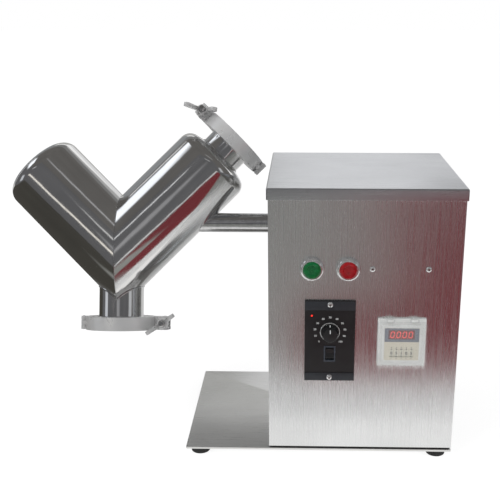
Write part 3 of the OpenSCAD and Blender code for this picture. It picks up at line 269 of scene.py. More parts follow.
FINISHES = (
    (polished, "polished_sheet"),
    (bright, "ground_weld", 0.66, 0.1),
    (bright, "turned_steel"),
    (bright, "chrome", 0.88, 0.07, 0.85),
    (bright, "capacitor_can", 0.6, 0.3),
    (bright, "aluminium", 0.6, 0.25),
    (cast, "cast_stainless"),
    (cast, "gear_casting", 0.4, 0.4),
    (brushed, "brushed_sheet", 0.82, 0.26, (700, 700, 9), (0.995, 1, 1.005), 0.005),
    (brushed, "brushed_lid", 0.78, 0.3, (9, 700, 700), (0.97, 0.99, 1.02)),
    (brushed, "brushed_plate", 0.78, 0.3, (9, 700, 700), (1, 1, 0.985)),
    (moulded, "white_seal", (0.82, 0.82, 0.8), 0.4),
    # Near-black finish used as painted shade in the screw recesses and in the bezel gaps.
    (moulded, "dark_recess", grey(0.02), 0.7),
    (moulded, "black_rubber", grey(0.018), 0.65, 0.06),
    (moulded, "panel_black", (0.012, 0.012, 0.013), 0.35, 0.02),
    (moulded, "body_black", (0.03, 0.03, 0.032)),
    (moulded, "strip_grey", (0.022, 0.025, 0.031), 0.4, 0.02),
    (moulded, "white_ink", (0.75, 0.76, 0.76), 0.5, 0.03, 0.06),
    (moulded, "black_ink", grey(0.02)),
    (moulded, "display_glass", (0.11, 0.004, 0.004), 0.15, 0.002),
    (moulded, "timer_white", (0.72, 0.73, 0.72), 0.25, 0.01, 0.04),
    (moulded, "timer_beige", (0.62, 0.58, 0.47), 0.45, 0.01, 0.05),
    (moulded, "wheel_cream", (0.66, 0.63, 0.53), 0.4, 0.01, 0.05),
    (moulded, "mask_blue", (0.10, 0.115, 0.165), 0.4, 0.01, 0.06),
    (moulded, "rocker_frame", (0.045, 0.055, 0.07), 0.3, 0.01),
    (moulded, "terminal_beige", (0.5, 0.45, 0.3)),
    (lens, "green_lens", (0.0, 0.12, 0.03)),
    (lens, "red_lens", (0.3, 0.006, 0.01)),
    (lit, "red_lamp", (0.8, 0.02, 0.01), 1.5),
    (lit, "digit_red", (0.8, 0.04, 0.03), 0.55),
    (clear, "clear_cover"),
    (painted, "frame_paint", (0.05, 0.055, 0.06)),
    (painted, "housing_paint", (0.04, 0.05, 0.055), 0.5),
    (painted, "motor_paint", (0.012, 0.012, 0.014), 0.35),
)


# Geometry

ON_AXIS = 1e-4
WELD_GAP = 0.01
FLAT_ANGLE = math.radians(0.5)
EDGE_ANGLE = math.radians(30)
SHARP_EDGE = math.radians(50)
STRAIGHT = math.pi - 0.02
LONGEST_ROUND = 0.45
ALL_SMOOTH = 180


def put(name, bm, material, place=None):
    """Links an object for a bmesh, in place."""
    mesh = bpy.data.meshes.new(name)
    bm.to_mesh(mesh)
    bm.free()
    obj = bpy.data.objects.new(name, mesh)
    bpy.context.scene.collection.objects.link(obj)
    if place is not None:
        obj.matrix_world = place
    mesh.materials.append(material)
    bpy.context.view_layer.update()
    return obj


def piece(name, bm, look, node=None, place=None, body=CABINET, sharp=35):
    """A finished piece, smooth but for its sharp edges, on its body and for its CAD node."""
    bmesh.ops.recalc_face_normals(bm, faces=bm.faces)
    obj = put(name, bm, LOOK[look], place)
    obj.data.shade_smooth()
    obj.data.set_sharp_from_angle(angle=math.radians(sharp))
    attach(obj, body)
    if node:
        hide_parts(node)
    return obj


def dress(node, look, width=0.0, steps=2):
    """The finish of a CAD node that stays, and its edges rounded where a width is given."""
    obj = frame["nodes"][node]
    obj.data.materials.clear()
    obj.data.materials.append(LOOK[look])
    modifiers = (
        ("WELD", {"merge_threshold": WELD_GAP * MM}),
        ("DECIMATE", {"decimate_type": "DISSOLVE", "angle_limit": FLAT_ANGLE}),
        ("BEVEL", {"width": width * MM, "segments": steps, "limit_method": "ANGLE",
                   "angle_limit": EDGE_ANGLE, "harden_normals": False}),
        ("WEIGHTED_NORMAL", {"keep_sharp": True}),
    )
    for kind, settings in modifiers if width else ():
        modifier = obj.modifiers.new(kind.lower(), kind)
        for key, value in settings.items():
            setattr(modifier, key, value)


def fillet(points, radius, steps=4):
    """A section with its corners rounded, by one radius or one each. On the axis it keeps its ends."""
    rounded = []
    count = len(points)
    radii = radius if isinstance(radius, (list, tuple)) else [radius] * count
    for i, (x, y) in enumerate(points):
        here = Vector((x, y))
        to_last = Vector(points[i - 1]) - here
        to_next = Vector(points[(i + 1) % count]) - here
        end = points[0][0] == points[-1][0] == 0 and i in (0, count - 1)
        if end or radii[i] == 0 or to_last.angle(to_next) > STRAIGHT:
            rounded.append((x, y))
            continue
        reach = min(radii[i] / math.tan(to_last.angle(to_next) / 2),
                    LONGEST_ROUND * to_last.length, LONGEST_ROUND * to_next.length)
        start = here + to_last.normalized() * reach
        stop = here + to_next.normalized() * reach
        for step in range(steps + 1):
            t = step / steps
            rounded.append(tuple((1 - t) ** 2 * start + 2 * t * (1 - t) * here + t ** 2 * stop))
    return rounded


def rounded_box(x0, y0, x1, y1, radius, steps=4):
    return fillet([(x0, y0), (x1, y0), (x1, y1), (x0, y1)], radius, steps)


def circle(radius, count, level=0.0, start=0.0):
    """Points of a level circle round Z."""
    turns = (start + 2 * math.pi * k / count for k in range(count))
    return [(radius * math.cos(a), radius * math.sin(a), level) for a in turns]


def arc(x, y, radius, start, sweep, steps):
    """Points of an arc in a section, both ends included."""
    turns = (start + sweep * k / steps for k in range(steps + 1))
    return [(x + radius * math.cos(a), y + radius * math.sin(a)) for a in turns]


def row(bm, points, shift=(0, 0, 0)):
    """New vertices at points in millimetres."""
    return [bm.verts.new([(a + b) * MM for a, b in zip(point, shift)]) for point in points]


def box_row(bm, corners, inset, radius, z, steps=4):
    """New vertices round a rounded rectangle, drawn in by an inset."""
    x0, y0, x1, y1 = corners
    outline = rounded_box(x0 + inset, y0 + inset, x1 - inset, y1 - inset, radius, steps)
    return row(bm, [(x, y, z) for x, y in outline])


def loft(bm, rows, closed=False):
    """Faces between neighbouring closed rows of vertices. A row of one vertex is a tip."""
    for low, high in zip(rows, rows[1:] + rows[:1] if closed else rows[1:]):
        count = max(len(low), len(high))
        for k in range(count if count > 1 else 0):
            n = (k + 1) % count
            if len(low) == 1:
                bm.faces.new((low[0], high[n], high[k]))
            elif len(high) == 1:
                bm.faces.new((low[k], low[n], high[0]))
            else:
                bm.faces.new((low[k], low[n], high[n], high[k]))


def end_faces(bm, rows):
    bm.faces.new(rows[0][::-1])
    bm.faces.new(rows[-1])


def lathe(profile, segments=96, bm=None, shift=(0, 0, 0)):
    """Turns (radius, height) points round Z, closed at the axis or at the first point."""
    bm = bm or bmesh.new()
    rings = [circle(r, segments, z) if r > ON_AXIS else [(0, 0, z)] for r, z in profile]
    loft(bm, [row(bm, ring, shift) for ring in rings], closed=len(rings[-1]) > 1)
    return bm


def disc(radius, low, high, segments, bm=None, shift=(0, 0, 0)):
    """A plain disc or pin round Z."""
    return lathe([(0, high), (radius, high), (radius, low), (0, low)], segments, bm, shift)


def round_edges(bm, radius, steps):
    """Rounds the sharp edges of a bmesh."""
    if radius > 0:
        bm.normal_update()
        edges = [e for e in bm.edges if e.is_manifold and e.calc_face_angle(0) > SHARP_EDGE]
        bmesh.ops.bevel(bm, geom=edges, offset=radius * MM, segments=steps, profile=0.5, affect="EDGES",
                        clamp_overlap=True)


def merge(target, source, place=None):
    """Adds one bmesh to another, moved by a matrix, and frees it."""
    if place is not None:
        source.transform(place)
    mesh = bpy.data.meshes.new("part")
    source.to_mesh(mesh)
    source.free()
    target.from_mesh(mesh)
    bpy.data.meshes.remove(mesh)
    return target


def prism(outline, low, high, bevel=0.0, steps=2, bm=None):
    """An outline raised from one height to another, its edges rounded."""
    made = bmesh.new()
    rows = [row(made, [(x, y, z) for x, y in outline]) for z in (low, high)]
    end_faces(made, rows)
    loft(made, rows)
    round_edges(made, bevel, steps)
    return merge(bm or bmesh.new(), made)


def slab(low, high, bevel=0.0, steps=2, bm=None):
    """A block between two corners with rounded edges."""
    made = bmesh.new()
    bmesh.ops.create_cube(made, size=1)
    size = [(b - a) * MM for a, b in zip(low, high)]
    centre = [(a + b) / 2 for a, b in zip(low, high)]
    made.transform(at(*centre) @ Matrix.Diagonal((*size, 1)))
    round_edges(made, bevel, steps)
    return merge(bm or bmesh.new(), made)


def bead(points, radius, sides, bm=None):
    """A round bar along a closed line of points."""
    bm = bm or bmesh.new()
    points = [Vector(point) for point in points]
    rings = []
    side = None
    for i, point in enumerate(points):
        along = (points[(i + 1) % len(points)] - points[i - 1]).normalized()
        side = side or along.orthogonal()
        side = (side - along * side.dot(along)).normalized()
        up = along.cross(side)
        rings.append(row(bm, [point + x * side + y * up for x, y, _ in circle(radius, sides)]))
    nearest = min(range(sides), key=lambda k: (rings[0][k].co - rings[-1][0].co).length)
    loft(bm, rings + [rings[0][nearest:] + rings[0][:nearest]])
    return bm


# Drum

CAP_DROP = math.sqrt((CROWN_R - KNUCKLE_R) ** 2 - (LEG_R - KNUCKLE_R) ** 2)
CAP_H = CROWN_R - CAP_DROP
CAP_STEPS = 10
TUBE_RINGS = 24
SKIN_SIDES = 160
SEAM_SIDES = 8
MITRE_SEAM_R = 0.55
NECK_SEAM_R = 1.3


def cap_profile(base):
    """The dished end over its tube: knuckle, then crown, as (radius, height)."""
    inner = LEG_R - KNUCKLE_R
    turn = math.atan2(CAP_DROP, inner)
    knuckle = arc(inner, base, KNUCKLE_R, 0, turn, CAP_STEPS)
    return knuckle + arc(0, base - CAP_DROP, CROWN_R, turn, math.pi / 2 - turn, CAP_STEPS)[1:]


def polished_skin(name, bm, node, place, normal_at):
    """A skin with exact normals, from its own points."""
    obj = piece(name, bm, "polished_sheet", node, place, DRUM_BODY, ALL_SMOOTH)
    normals = [normal_at(v.co / MM).normalized() for v in obj.data.vertices]
    obj.data.normals_split_custom_set_from_vertices(normals)


def leg_tube(word, side, place, length):
    """A leg's tube, mitred at the middle plane of the V."""
    low, high = -1.05 * LEG_R, length - CAP_H
    levels = [low + (high - low) * k / TUBE_RINGS for k in range(TUBE_RINGS + 1)]
    bm = bmesh.new()
    loft(bm, [row(bm, circle(LEG_R, SKIN_SIDES, z)) for z in levels])
    away = at(0, 0, 0, -side * HALF_VEE, "Y") @ Vector((-side, 0, 0))
    everything = bm.verts[:] + bm.edges[:] + bm.faces[:]
    bmesh.ops.bisect_plane(bm, geom=everything, plane_co=(0, 0, 0), plane_no=away, clear_outer=True)
    polished_skin(word + "_leg_skin", bm, word + "_leg", place, lambda p: Vector((p.x, p.y, 0)))


def cap_dish(word, _, place, length):
    """The dished end of a leg."""
    base = length - CAP_H
    inner = LEG_R - KNUCKLE_R
    knuckle_start = inner + KNUCKLE_R * inner / (CROWN_R - KNUCKLE_R)

    def normal_at(point):
        flat = Vector((point.x, point.y, 0))
        if flat.length > knuckle_start:
            return point - flat.normalized() * inner - Vector((0, 0, base))
        return point - Vector((0, 0, base - CAP_DROP))

    bm = lathe(cap_profile(base), SKIN_SIDES)
    polished_skin(word + "_cap_dish", bm, word + "_end_cap", place, normal_at)


def seams():
    """Ground weld seams where the tubes meet and round both necks."""
    mitre = [(0, y, math.sqrt(2) * x) for x, y, _ in circle(LEG_R, 180)]
    outlet = [(x, y, abs(x) - math.sqrt(2 * (LEG_R ** 2 - y ** 2))) for x, y, _ in circle(NECK_R, 120)]
    inlet = circle(NECK_R + 0.2, 96, RIGHT_LEN - CROWN_R + math.sqrt(CROWN_R ** 2 - NECK_R ** 2))
    bm = bead(mitre, MITRE_SEAM_R, SEAM_SIDES)
    bead(outlet, NECK_SEAM_R, SEAM_SIDES, bm)
    piece("drum_weld_seams", bm, "ground_weld", None, DRUM, DRUM_BODY, ALL_SMOOTH)
    piece("inlet_weld_seam", bead(inlet, NECK_SEAM_R, SEAM_SIDES), "ground_weld", None,
          RIGHT_LEG, DRUM_BODY, ALL_SMOOTH)


def drum():
    for shape in (leg_tube, cap_dish):
        shape("right", 1, RIGHT_LEG, RIGHT_LEN)
        shape("left", -1, LEFT_LEG, LEFT_LEN)
    seams()


# Necks and clamps

ENDS = (("inlet", AT_INLET, 26.4), ("outlet", AT_OUTLET, 52))
GASKET = 1.6
RIM_T = 2.85
FERRULE_R = 38.75
HUB_R = 30.5
RIM_H = RIM_T + (FERRULE_R - HUB_R) * math.tan(math.radians(20))
CAP_FACE = 6.4
RING_W = 17
HINGE_X = 48.9
HINGE_R = 2
PIN_R = 3
EYE_R = 7
BOLT_PLAIN = 10
BOLT_LEN = 36
THREAD_PITCH = 1.25
THREAD_DEPTH = 0.6
THREAD_SIDES = 28
THREAD_STEPS = 6
NUT_R = 7.5
NUT_LOW = 10.3
NUT_H = 9.5
NUT_TURN = 35
WING_T = 5
WING_TIP_R = 4.5
WING_TIP_X, WING_TIP_Y = 17, 33.5
WING_STEPS = 10
ALONG_BOLT = at(0, 0, 0, -90)


def neck(end, place, length):
    """A neck with its ferrule."""
    bore = NECK_R - SHEET
    section = fillet([(bore, 0), (FERRULE_R, 0), (FERRULE_R, -RIM_T), (HUB_R, -RIM_H),
                      (NECK_R, -RIM_H - 1.5), (NECK_R, -length), (bore, -length)],
                     [0.3, 0.5, 0.5, 1.2, 3, 0, 0])
    bm = lathe(section, 128, shift=(0, 0, -GASKET / 2))
    piece(end + "_neck_tube", bm, "polished_sheet", end + "_neck", place, DRUM_BODY)


def blind_cap(end, place, _):
    """A turned disc with a tapered rim and a shallow raised middle."""
    section = fillet([(0, 0), (FERRULE_R, 0), (FERRULE_R, RIM_T), (HUB_R, RIM_H), (HUB_R - SHEET, CAP_FACE),
                      (0, CAP_FACE)], [0, 0.3, 0.5, 0.8, 0.4, 0])
    bm = lathe(section, 128, shift=(0, 0, GASKET / 2))
    piece(end + "_blind_cap", bm, "turned_steel", end + "_cap", place, DRUM_BODY)


def clamp_gaskets():
    bm = bmesh.new()
    for _, place, _ in ENDS:
        section = rounded_box(NECK_R - SHEET, -GASKET / 2, FERRULE_R - 0.15, GASKET / 2, 0.35)
        merge(bm, lathe(section), place)
    piece("clamp_gaskets", bm, "white_seal", "gaskets", body=DRUM_BODY)


def clamp_pins():
    """Riveted pins of both clamps."""
    bm = bmesh.new()
    half = RING_W / 2
    for _, place, _ in ENDS:
        for x, y, r in ((-HINGE_X, 0, HINGE_R), (BOLT_REACH, -PIVOT_SET, PIN_R)):
            rivet = [(0, -half - 0.7), (r * 0.6, -half - 0.5), (r * 0.97, -half), (r * 0.97, half),
                     (r * 0.6, half + 0.5), (0, half + 0.7)]
            merge(bm, lathe(fillet(rivet, 0.4), 32), place @ at(x, y, 0))
    piece("clamp_pin_set", bm, "turned_steel", "clamp_pins", body=DRUM_BODY)


def threaded_rod(radius, low, high):
    """A thread along Z with a chamfered end."""
    bm = bmesh.new()
    count = int((high - low) / THREAD_PITCH * THREAD_STEPS)
    rings = []
    for i in range(count + 1):
        z = low + (high - low) * i / count
        fade = min(1.0, (z - low) / (1.5 * THREAD_PITCH))
        end = min(1.0, (high - z) / (1.2 * THREAD_DEPTH))
        ring = []
        for k, (x, y, _) in enumerate(circle(1, THREAD_SIDES)):
            phase = (z / THREAD_PITCH - k / THREAD_SIDES) % 1.0
            r = (radius - THREAD_DEPTH * abs(2 * phase - 1) * fade) * (1 - 0.18 * (1 - end))
            ring.append((r * x, r * y, z))
        rings.append(row(bm, ring))
    loft(bm, rings)
    end_faces(bm, rings)
    return bm


def swing_bolt(end, place):
    """An eye on its pin, a plain neck and a threaded shank."""
    bm = lathe(rounded_box(PIN_R + 0.06, -BOLT_R, EYE_R, BOLT_R, 1.1), 48)
    merge(bm, disc(BOLT_R * 0.93, EYE_R * 0.62, BOLT_PLAIN, 32), ALONG_BOLT)
    merge(bm, threaded_rod(BOLT_R * 0.985, BOLT_PLAIN, BOLT_LEN), ALONG_BOLT)
    pivot = place @ at(BOLT_REACH, -PIVOT_SET, 0)
    piece(end + "_swing_bolt", bm, "turned_steel", end + "_bolt", pivot, end + "_bolt", 50)


def wing_outline():
    """One wing in the plane of the bolt: from the hub out to a round tip."""
    tip = arc(WING_TIP_X, WING_TIP_Y, WING_TIP_R, -math.pi / 4, math.pi, WING_STEPS)
    return [(NUT_R * 0.55, NUT_LOW + 1.6), *tip, (NUT_R * 0.55, NUT_LOW + NUT_H)]


def wing_nut(end, place):
    """A cast wing nut: a coned hub and two rounded wings."""
    bm = bmesh.new()
    hub = [(BOLT_R + 0.12, NUT_LOW), (NUT_R, NUT_LOW), (NUT_R, NUT_LOW + 2.2),
           (NUT_R * 0.84, NUT_LOW + NUT_H), (BOLT_R + 0.12, NUT_LOW + NUT_H)]
    merge(bm, lathe(fillet(hub, [0.2, 1.0, 2.2, 1.2, 0.4]), 48), ALONG_BOLT)
    for turn in (0, 180):
        wing = prism(fillet(wing_outline(), 0.4, 2), -WING_T / 2, WING_T / 2, 2.0, 5)
        merge(bm, wing, at(0, 0, 0, turn, "Y"))
    axis = place @ at(BOLT_REACH, 0, 0, NUT_TURN, "Y")
    piece(end + "_wing_nut", bm, "cast_stainless", end + "_nut", axis, end + "_nut", 60)


def clamps():
    for shape in (neck, blind_cap):
        for end in ENDS:
            shape(*end)
    clamp_gaskets()
    clamp_pins()
    for end, place, _ in ENDS:
        dress(end + "_clamp", "cast_stainless", 0.9, 3)
        swing_bolt(end, place)
        wing_nut(end, place)


# Base and cabinet

FOOT_R = 12
FOOT_TOP_R = 10.5
FOOT_H = 10
FOOT_SET = 17
FOOT_RECESS_R = 5.8
FOOT_WEB = 5
FOOT_HEAD_R = 4.6
FOOT_HEAD_H = 3.2
FOOT_SHANK_R = 2.4
DOME_R = 3.6
DOME_H = 2.2
DOME_SHANK = 1.5
CROSS_REACH = 1.6
CROSS_W = 0.55
CROSS_TURN = 0.5
SHEET_T = 1.5
LID_BEND = 1.6
LID_CORNER = 2.2
LID_STEPS = 5
SEAL_LIP_R = 15


def at_each_foot(section, segments):
    """The same turned form at each of the four feet."""
    bm = bmesh.new()
    for x in (FOOT_SET - PLATE_HIGH.x, PLATE_HIGH.x - FOOT_SET):
        for y in (FOOT_SET - PLATE_HIGH.y, PLATE_HIGH.y - FOOT_SET):
            lathe(section, segments, bm, (x, y, 0))
    return bm


def rubber_feet():
    """Feet with a lip, a grip groove and a hollow for the screw."""
    web = FOOT_H - FOOT_WEB
    section = fillet([(FOOT_RECESS_R, 0.2), (FOOT_RECESS_R + 0.8, 0), (FOOT_R, 0), (FOOT_R, 2.6),
                      (FOOT_R - 0.7, 3.2), (FOOT_R - 0.7, 3.9), (FOOT_R - 0.2, 4.5), (FOOT_TOP_R, FOOT_H),
                      (0.1, FOOT_H), (0.1, web), (FOOT_RECESS_R, web)],
                     [0.2, 0.5, 1.0, 0.5, 0.2, 0.2, 0.3, 0.6, 0, 0, 0.4])
    piece("rubber_foot_set", at_each_foot(section, 64), "black_rubber", "rubber_feet")


def foot_screws():
    """Screws of the feet, with shanks that end inside the plate."""
    under, top = FOOT_H - FOOT_WEB, PLATE_HIGH.z - 0.5
    section = fillet([(0, under - FOOT_HEAD_H), (FOOT_HEAD_R, under - FOOT_HEAD_H), (FOOT_HEAD_R, under),
                      (FOOT_SHANK_R, under), (FOOT_SHANK_R, top), (0, top)], 0.4, 3)
    piece("foot_screw_set", at_each_foot(section, 40), "turned_steel", "foot_screws")


def base_plate():
    """Plate with small edge radii."""
    outline = rounded_box(PLATE_LOW.x, PLATE_LOW.y, PLATE_HIGH.x, PLATE_HIGH.y, 1.5)
    bm = prism(outline, PLATE_LOW.z, PLATE_HIGH.z, 0.45)
    piece("base_plate_sheet", bm, "brushed_plate", "base_plate")


def dome_screw(bm, place):
    """Dome head with a pressed cross recess."""
    outline = [(0, DOME_H), (DOME_R * 0.45, DOME_H * 0.93), (DOME_R * 0.8, DOME_H * 0.62),
               (DOME_R, DOME_H * 0.18), (DOME_R, 0), (1.9, -0.05), (1.9, -DOME_SHANK), (0, -DOME_SHANK)]
    head = lathe(fillet(outline, 0.5, 3), 48)
    reach = 0.42 * DOME_R * MM
    for v in head.verts:
        near = min(abs(v.co.x), abs(v.co.y))
        if v.co.z >= DOME_H * MM / 2 and v.co.xy.length < reach and near < 0.35 * reach:
            v.co.z -= 0.38 * DOME_H * MM
    merge(bm, head, place)


def recess_shade_cross(bm, place):
    """Painted shade: a dark cross standing for the shade in a screw's recess."""
    half = CROSS_W / 2
    for turn in (0, math.pi / 2):
        bar = slab((-CROSS_REACH, -half, DOME_H - 0.5), (CROSS_REACH, half, DOME_H + 0.02), 0.1, 1)
        merge(bm, bar, place @ Matrix.Rotation(turn + CROSS_TURN, 4, "Z"))


def screws(name, places, look, node):
    bm, marks = bmesh.new(), bmesh.new()
    for place in places:
        dome_screw(bm, place)
        # Each dome screw gets a dark cross of painted shade in its recess.
        recess_shade_cross(marks, place)
    piece(name, bm, look, node)
    piece(name + "_recess", marks, "dark_recess")


def panel_screws():
    low, high = box("panel_screws")
    places = [at(x, FRONT_Y, (low.z + high.z) / 2, TO_FRONT) for x in (low.x + DOME_R, high.x - DOME_R)]
    screws("panel_dome_screws", places, "chrome", "panel_screws")


def rear_screws():
    low, high = box("rear_screws")
    back = box("rear_panel")[1].y
    places = [at(x, back, z, TO_BACK) for x in (low.x + DOME_R, high.x - DOME_R)
              for z in (low.z + DOME_R, (low.z + high.z) / 2, high.z - DOME_R)]
    screws("rear_dome_screws", places, "turned_steel", "rear_screws")


def lid():
    """Folded lid with a real radius along its bends."""
    low, high = box("top_lid")
    levels = [(SHEET_T, high.z - SHEET_T), (SHEET_T, low.z + 0.2), (SHEET_T - 0.2, low.z), (0.2, low.z),
              (0, low.z + 0.2)]
    levels += arc(LID_BEND, high.z - LID_BEND, LID_BEND, math.pi, -math.pi / 2, LID_STEPS)
    bm = bmesh.new()
    corners = (low.x, low.y, high.x, high.y)
    rows = [box_row(bm, corners, inset, max(LID_CORNER - inset, 0.3), z, 5) for inset, z in levels]
    loft(bm, rows)
    end_faces(bm, rows)
    piece("folded_lid", bm, "brushed_lid", "top_lid", body="lid", sharp=40)


def shaft_and_seal():
    """The shaft, and the lip seal where it enters the cabinet."""
    low, high = box("main_shaft")
    radius = (high.z - low.z) / 2
    start = low.x + 0.2
    length = high.x - start
    bar = lathe([(0, 0), (radius, 0), (radius, length - 0.8), (radius - 0.8, length), (0, length)])
    piece("turned_shaft", bar, "turned_steel", "main_shaft",
          at(start, SHAFT.y, SHAFT.z, 90, "Y"), DRUM_BODY)
    low, high = box("shaft_seal")
    outer = (high.z - low.z) / 2
    section = fillet([(radius + 0.06, 0.3), (radius + 1.0, 0), (outer, 0), (outer, 2), (SEAL_LIP_R, 2),
                      (SEAL_LIP_R, 8), (radius + 0.06, 8)], 0.5)
    piece("lip_seal", lathe(section, 72), "white_seal", "shaft_seal",
          at(low.x, SHAFT.y, SHAFT.z, 90, "Y"))


def cabinet():
    dress("cabinet_shell", "brushed_sheet", 0.9, 3)
    dress("rear_panel", "brushed_sheet", 0.4)
    lid()
    base_plate()
    rubber_feet()
    foot_screws()
    dress("sealing_strip", "black_rubber", 0.3)
    dress("cabinet_bolts", "turned_steel")
    panel_screws()
    rear_screws()
    shaft_and_seal()


# Push buttons

BEZEL_R = 14.75
BEZEL_H = 7
BEZEL_BRIM = 0.9
LENS_R = 10.25
LENS_TOP = 8.5
BARREL_R = 11
BARREL_L = 26
STEM_L = 22
STEM_R = 5
CROWN_STEPS = 12


def bezel(colour, place):
    """Bezel with a rolled crown, its barrel and its nut, and a dark ring of painted shade in the gap at the
    lens.
    """
    inner, crest = LENS_R + 0.08, LENS_R + 0.7
    crown = [(crest + (BEZEL_R - crest) * x, BEZEL_BRIM + (BEZEL_H - BEZEL_BRIM) * y)
             for x, y in arc(0, 0, 1, math.pi / 2, -math.pi / 2, CROWN_STEPS)]
    bm = lathe([(inner, -BARREL_L), (inner, BEZEL_H - 0.6), *crown, (BEZEL_R, 0), (BARREL_R, 0),
                (BARREL_R, -BARREL_L)])
    lathe(rounded_box(10.8, -5.5, 12.5, -1.6, 0.3, 2), 12, bm=bm)
    piece(colour + "_bezel_ring", bm, "chrome", colour + "_bezel", place)
    # A dark ring of painted shade in the gap between lens and bezel.
    gap = [(LENS_R + 0.05, 4.3), (LENS_R + 0.3, 4.3), (LENS_R + 0.3, 3.9), (LENS_R + 0.05, 3.9)]
    piece(colour + "_bezel_gap_shade", lathe(gap, 64), "dark_recess", None, place)


def push_lens(colour, place):
    """Lens with a rounded rim and a ribbed middle, on its stem."""
    body, look, slot = colour + "_button", colour + "_lens", "lens_" + colour
    outline = [(0, LENS_TOP - 0.75), (6.0, LENS_TOP - 0.75), (6.3, LENS_TOP - 0.2), (7.0, LENS_TOP),
               (LENS_R - 0.8, LENS_TOP - 0.35), (LENS_R, LENS_TOP - 1.5), (LENS_R, -1), (0, -1)]
    section = fillet(outline, [0, 0.25, 0.3, 0.5, 1.0, 0.8, 0.1, 0])
    piece(colour + "_lens", lathe(section, 80), look, body, place, body)
    piece(colour + "_stem", disc(STEM_R, -STEM_L, -1, 32), "body_black", None, place, body)
    ribs = bmesh.new()
    for k in range(4):
        bead(circle(1.4 + 1.35 * k, 48, LENS_TOP - 0.72), 0.16, 6, ribs)
    piece(colour + "_lens_ribs", ribs, look, None, place, body, ALL_SMOOTH)


def push_buttons():
    for colour in ("green", "red"):
        centre = middle(colour + "_button")
        place = at(centre.x, FRONT_Y, centre.z, TO_FRONT)
        bezel(colour, place)
        push_lens(colour, place)


# Speed controller

SPEED_LOW, SPEED_HIGH = box("speed_panel")
KNOB_X = middle("speed_panel").x
KNOB_Z = middle("speed_knob").z
KNOB_R = 9.7
KNOB_STEPS = 192
KNOB_FLUTES = 24
FLUTE_DEPTH = 0.42
FLUTED = (2.1, 12.4)
KNOB_LEVELS = ((2.0, 1.0), (2.3, 1.0), (9.8, 0.965), (12.0, 0.94), (12.6, 0.90), (13.0, 0.80))
PANEL_Y = FRONT_Y - 2.6
STRIP_STEP = 0.8
DIAL_R = 18.4
DIAL_SWEEP = 270
ROCKER_TILT = 18


def lettering(name, texts, size, places, look, body, depth, bold):
    """Thin raised print: a text at each place, in one mesh."""
    bm = bmesh.new()
    for text, place in zip(texts, places):
        curve = bpy.data.curves.new("print", "FONT")
        curve.body = text
        curve.align_x = curve.align_y = "CENTER"
        curve.size, curve.extrude, curve.offset = size * MM, depth * MM, bold * MM
        curve.resolution_u = 3
        obj = bpy.data.objects.new("print", curve)
        bpy.context.scene.collection.objects.link(obj)
        bpy.context.view_layer.update()
        mesh = bpy.data.meshes.new_from_object(obj)
        bpy.data.objects.remove(obj)
        bpy.data.curves.remove(curve)
        mesh.transform(place)
        bm.from_mesh(mesh)
        bpy.data.meshes.remove(mesh)
    piece(name, bm, look, body=body)


def dial_print():
    """The numbers 0 to 100 round the knob."""
    texts, places = [], []
    for k in range(11):
        a = math.radians(DIAL_SWEEP * (k / 10 - 0.5))
        texts.append(str(10 * k))
        x, z = KNOB_X + DIAL_R * math.sin(a), KNOB_Z + DIAL_R * math.cos(a)
        places.append(at(x, PANEL_Y - 0.02, z, TO_FRONT))
    lettering("dial_numbers", texts, 3.4, places, "white_ink", CABINET, 0.05, 0.04)


def panel_strips():
    """The two raised strips of the controller's front."""
    bm = bmesh.new()
    front = PANEL_Y - STRIP_STEP - 0.02
    for low, high in ((SPEED_HIGH.z - 12, SPEED_HIGH.z), (SPEED_LOW.z, SPEED_LOW.z + 10.5)):
        slab((SPEED_LOW.x - 0.02, front, low), (SPEED_HIGH.x + 0.02, PANEL_Y, high), 0.5, 3, bm)
    piece("controller_strips", bm, "strip_grey")


def flutes(top):
    """The fluted grip of the knob, up to its face."""
    bm = bmesh.new()
    rows = []
    for z, share in KNOB_LEVELS:
        depth = FLUTE_DEPTH if FLUTED[0] < z < FLUTED[1] else 0.0
        ring = []
        for k, (x, y, _) in enumerate(circle(1, KNOB_STEPS)):
            wave = 0.5 - 0.5 * math.cos(KNOB_FLUTES * 2 * math.pi * k / KNOB_STEPS)
            r = KNOB_R * share - depth * wave ** 2
            ring.append((r * x, r * y, min(z, top)))
        rows.append(row(bm, ring))
    loft(bm, rows)
    end_faces(bm, rows)
    return bm


def knob():
    """Fluted knob with a silver ring round its skirt and a pointer line."""
    front, base = (corner.y for corner in box("speed_knob"))
    skirt_y = PANEL_Y - 0.3
    top = skirt_y - front
    place = at(KNOB_X, skirt_y, KNOB_Z, TO_FRONT)
    skirt = [(0, 0), (12, 0), (12, 1.2), (10.6, 2.4), (9.6, 2.5), (9.4, 2.0), (0, 2.0)]
    bm = lathe(fillet(skirt, 0.4))
    merge(bm, flutes(top))
    merge(bm, disc(3, skirt_y - base, 0, 32))
    piece("fluted_knob", bm, "panel_black", "speed_knob", place, "speed_knob", 50)
    ring = lathe(fillet([(11.2, 2.2), (12.05, 1.3), (12.05, 0.3), (11.2, 0.2)], 0.2), 72)
    piece("knob_silver_ring", ring, "chrome", None, place, "speed_knob")
    line = slab((-0.45, 2.4, top - 0.05), (0.45, 7.2, top + 0.05), 0.02, 1)
    slab((-0.45, 9.2, 3.0), (0.45, 9.72, 9.0), 0.05, 1, line)
    piece("knob_pointer", line, "white_ink", None, place, "speed_knob")


def rocker():
    """Rocker with its white dot, in a stepped bezel."""
    dress("rocker_switch", "panel_black", 0.35, 3)
    dress("rocker_bezel", "rocker_frame", 0.35, 3)
    low = box("rocker_switch")[0]
    place = at(middle("rocker_switch").x, low.y + 0.75, low.z + 4.6, TO_FRONT - ROCKER_TILT)
    piece("rocker_dot", disc(1.3, -0.2, 0.06, 24), "white_ink", None, place, "rocker_switch")


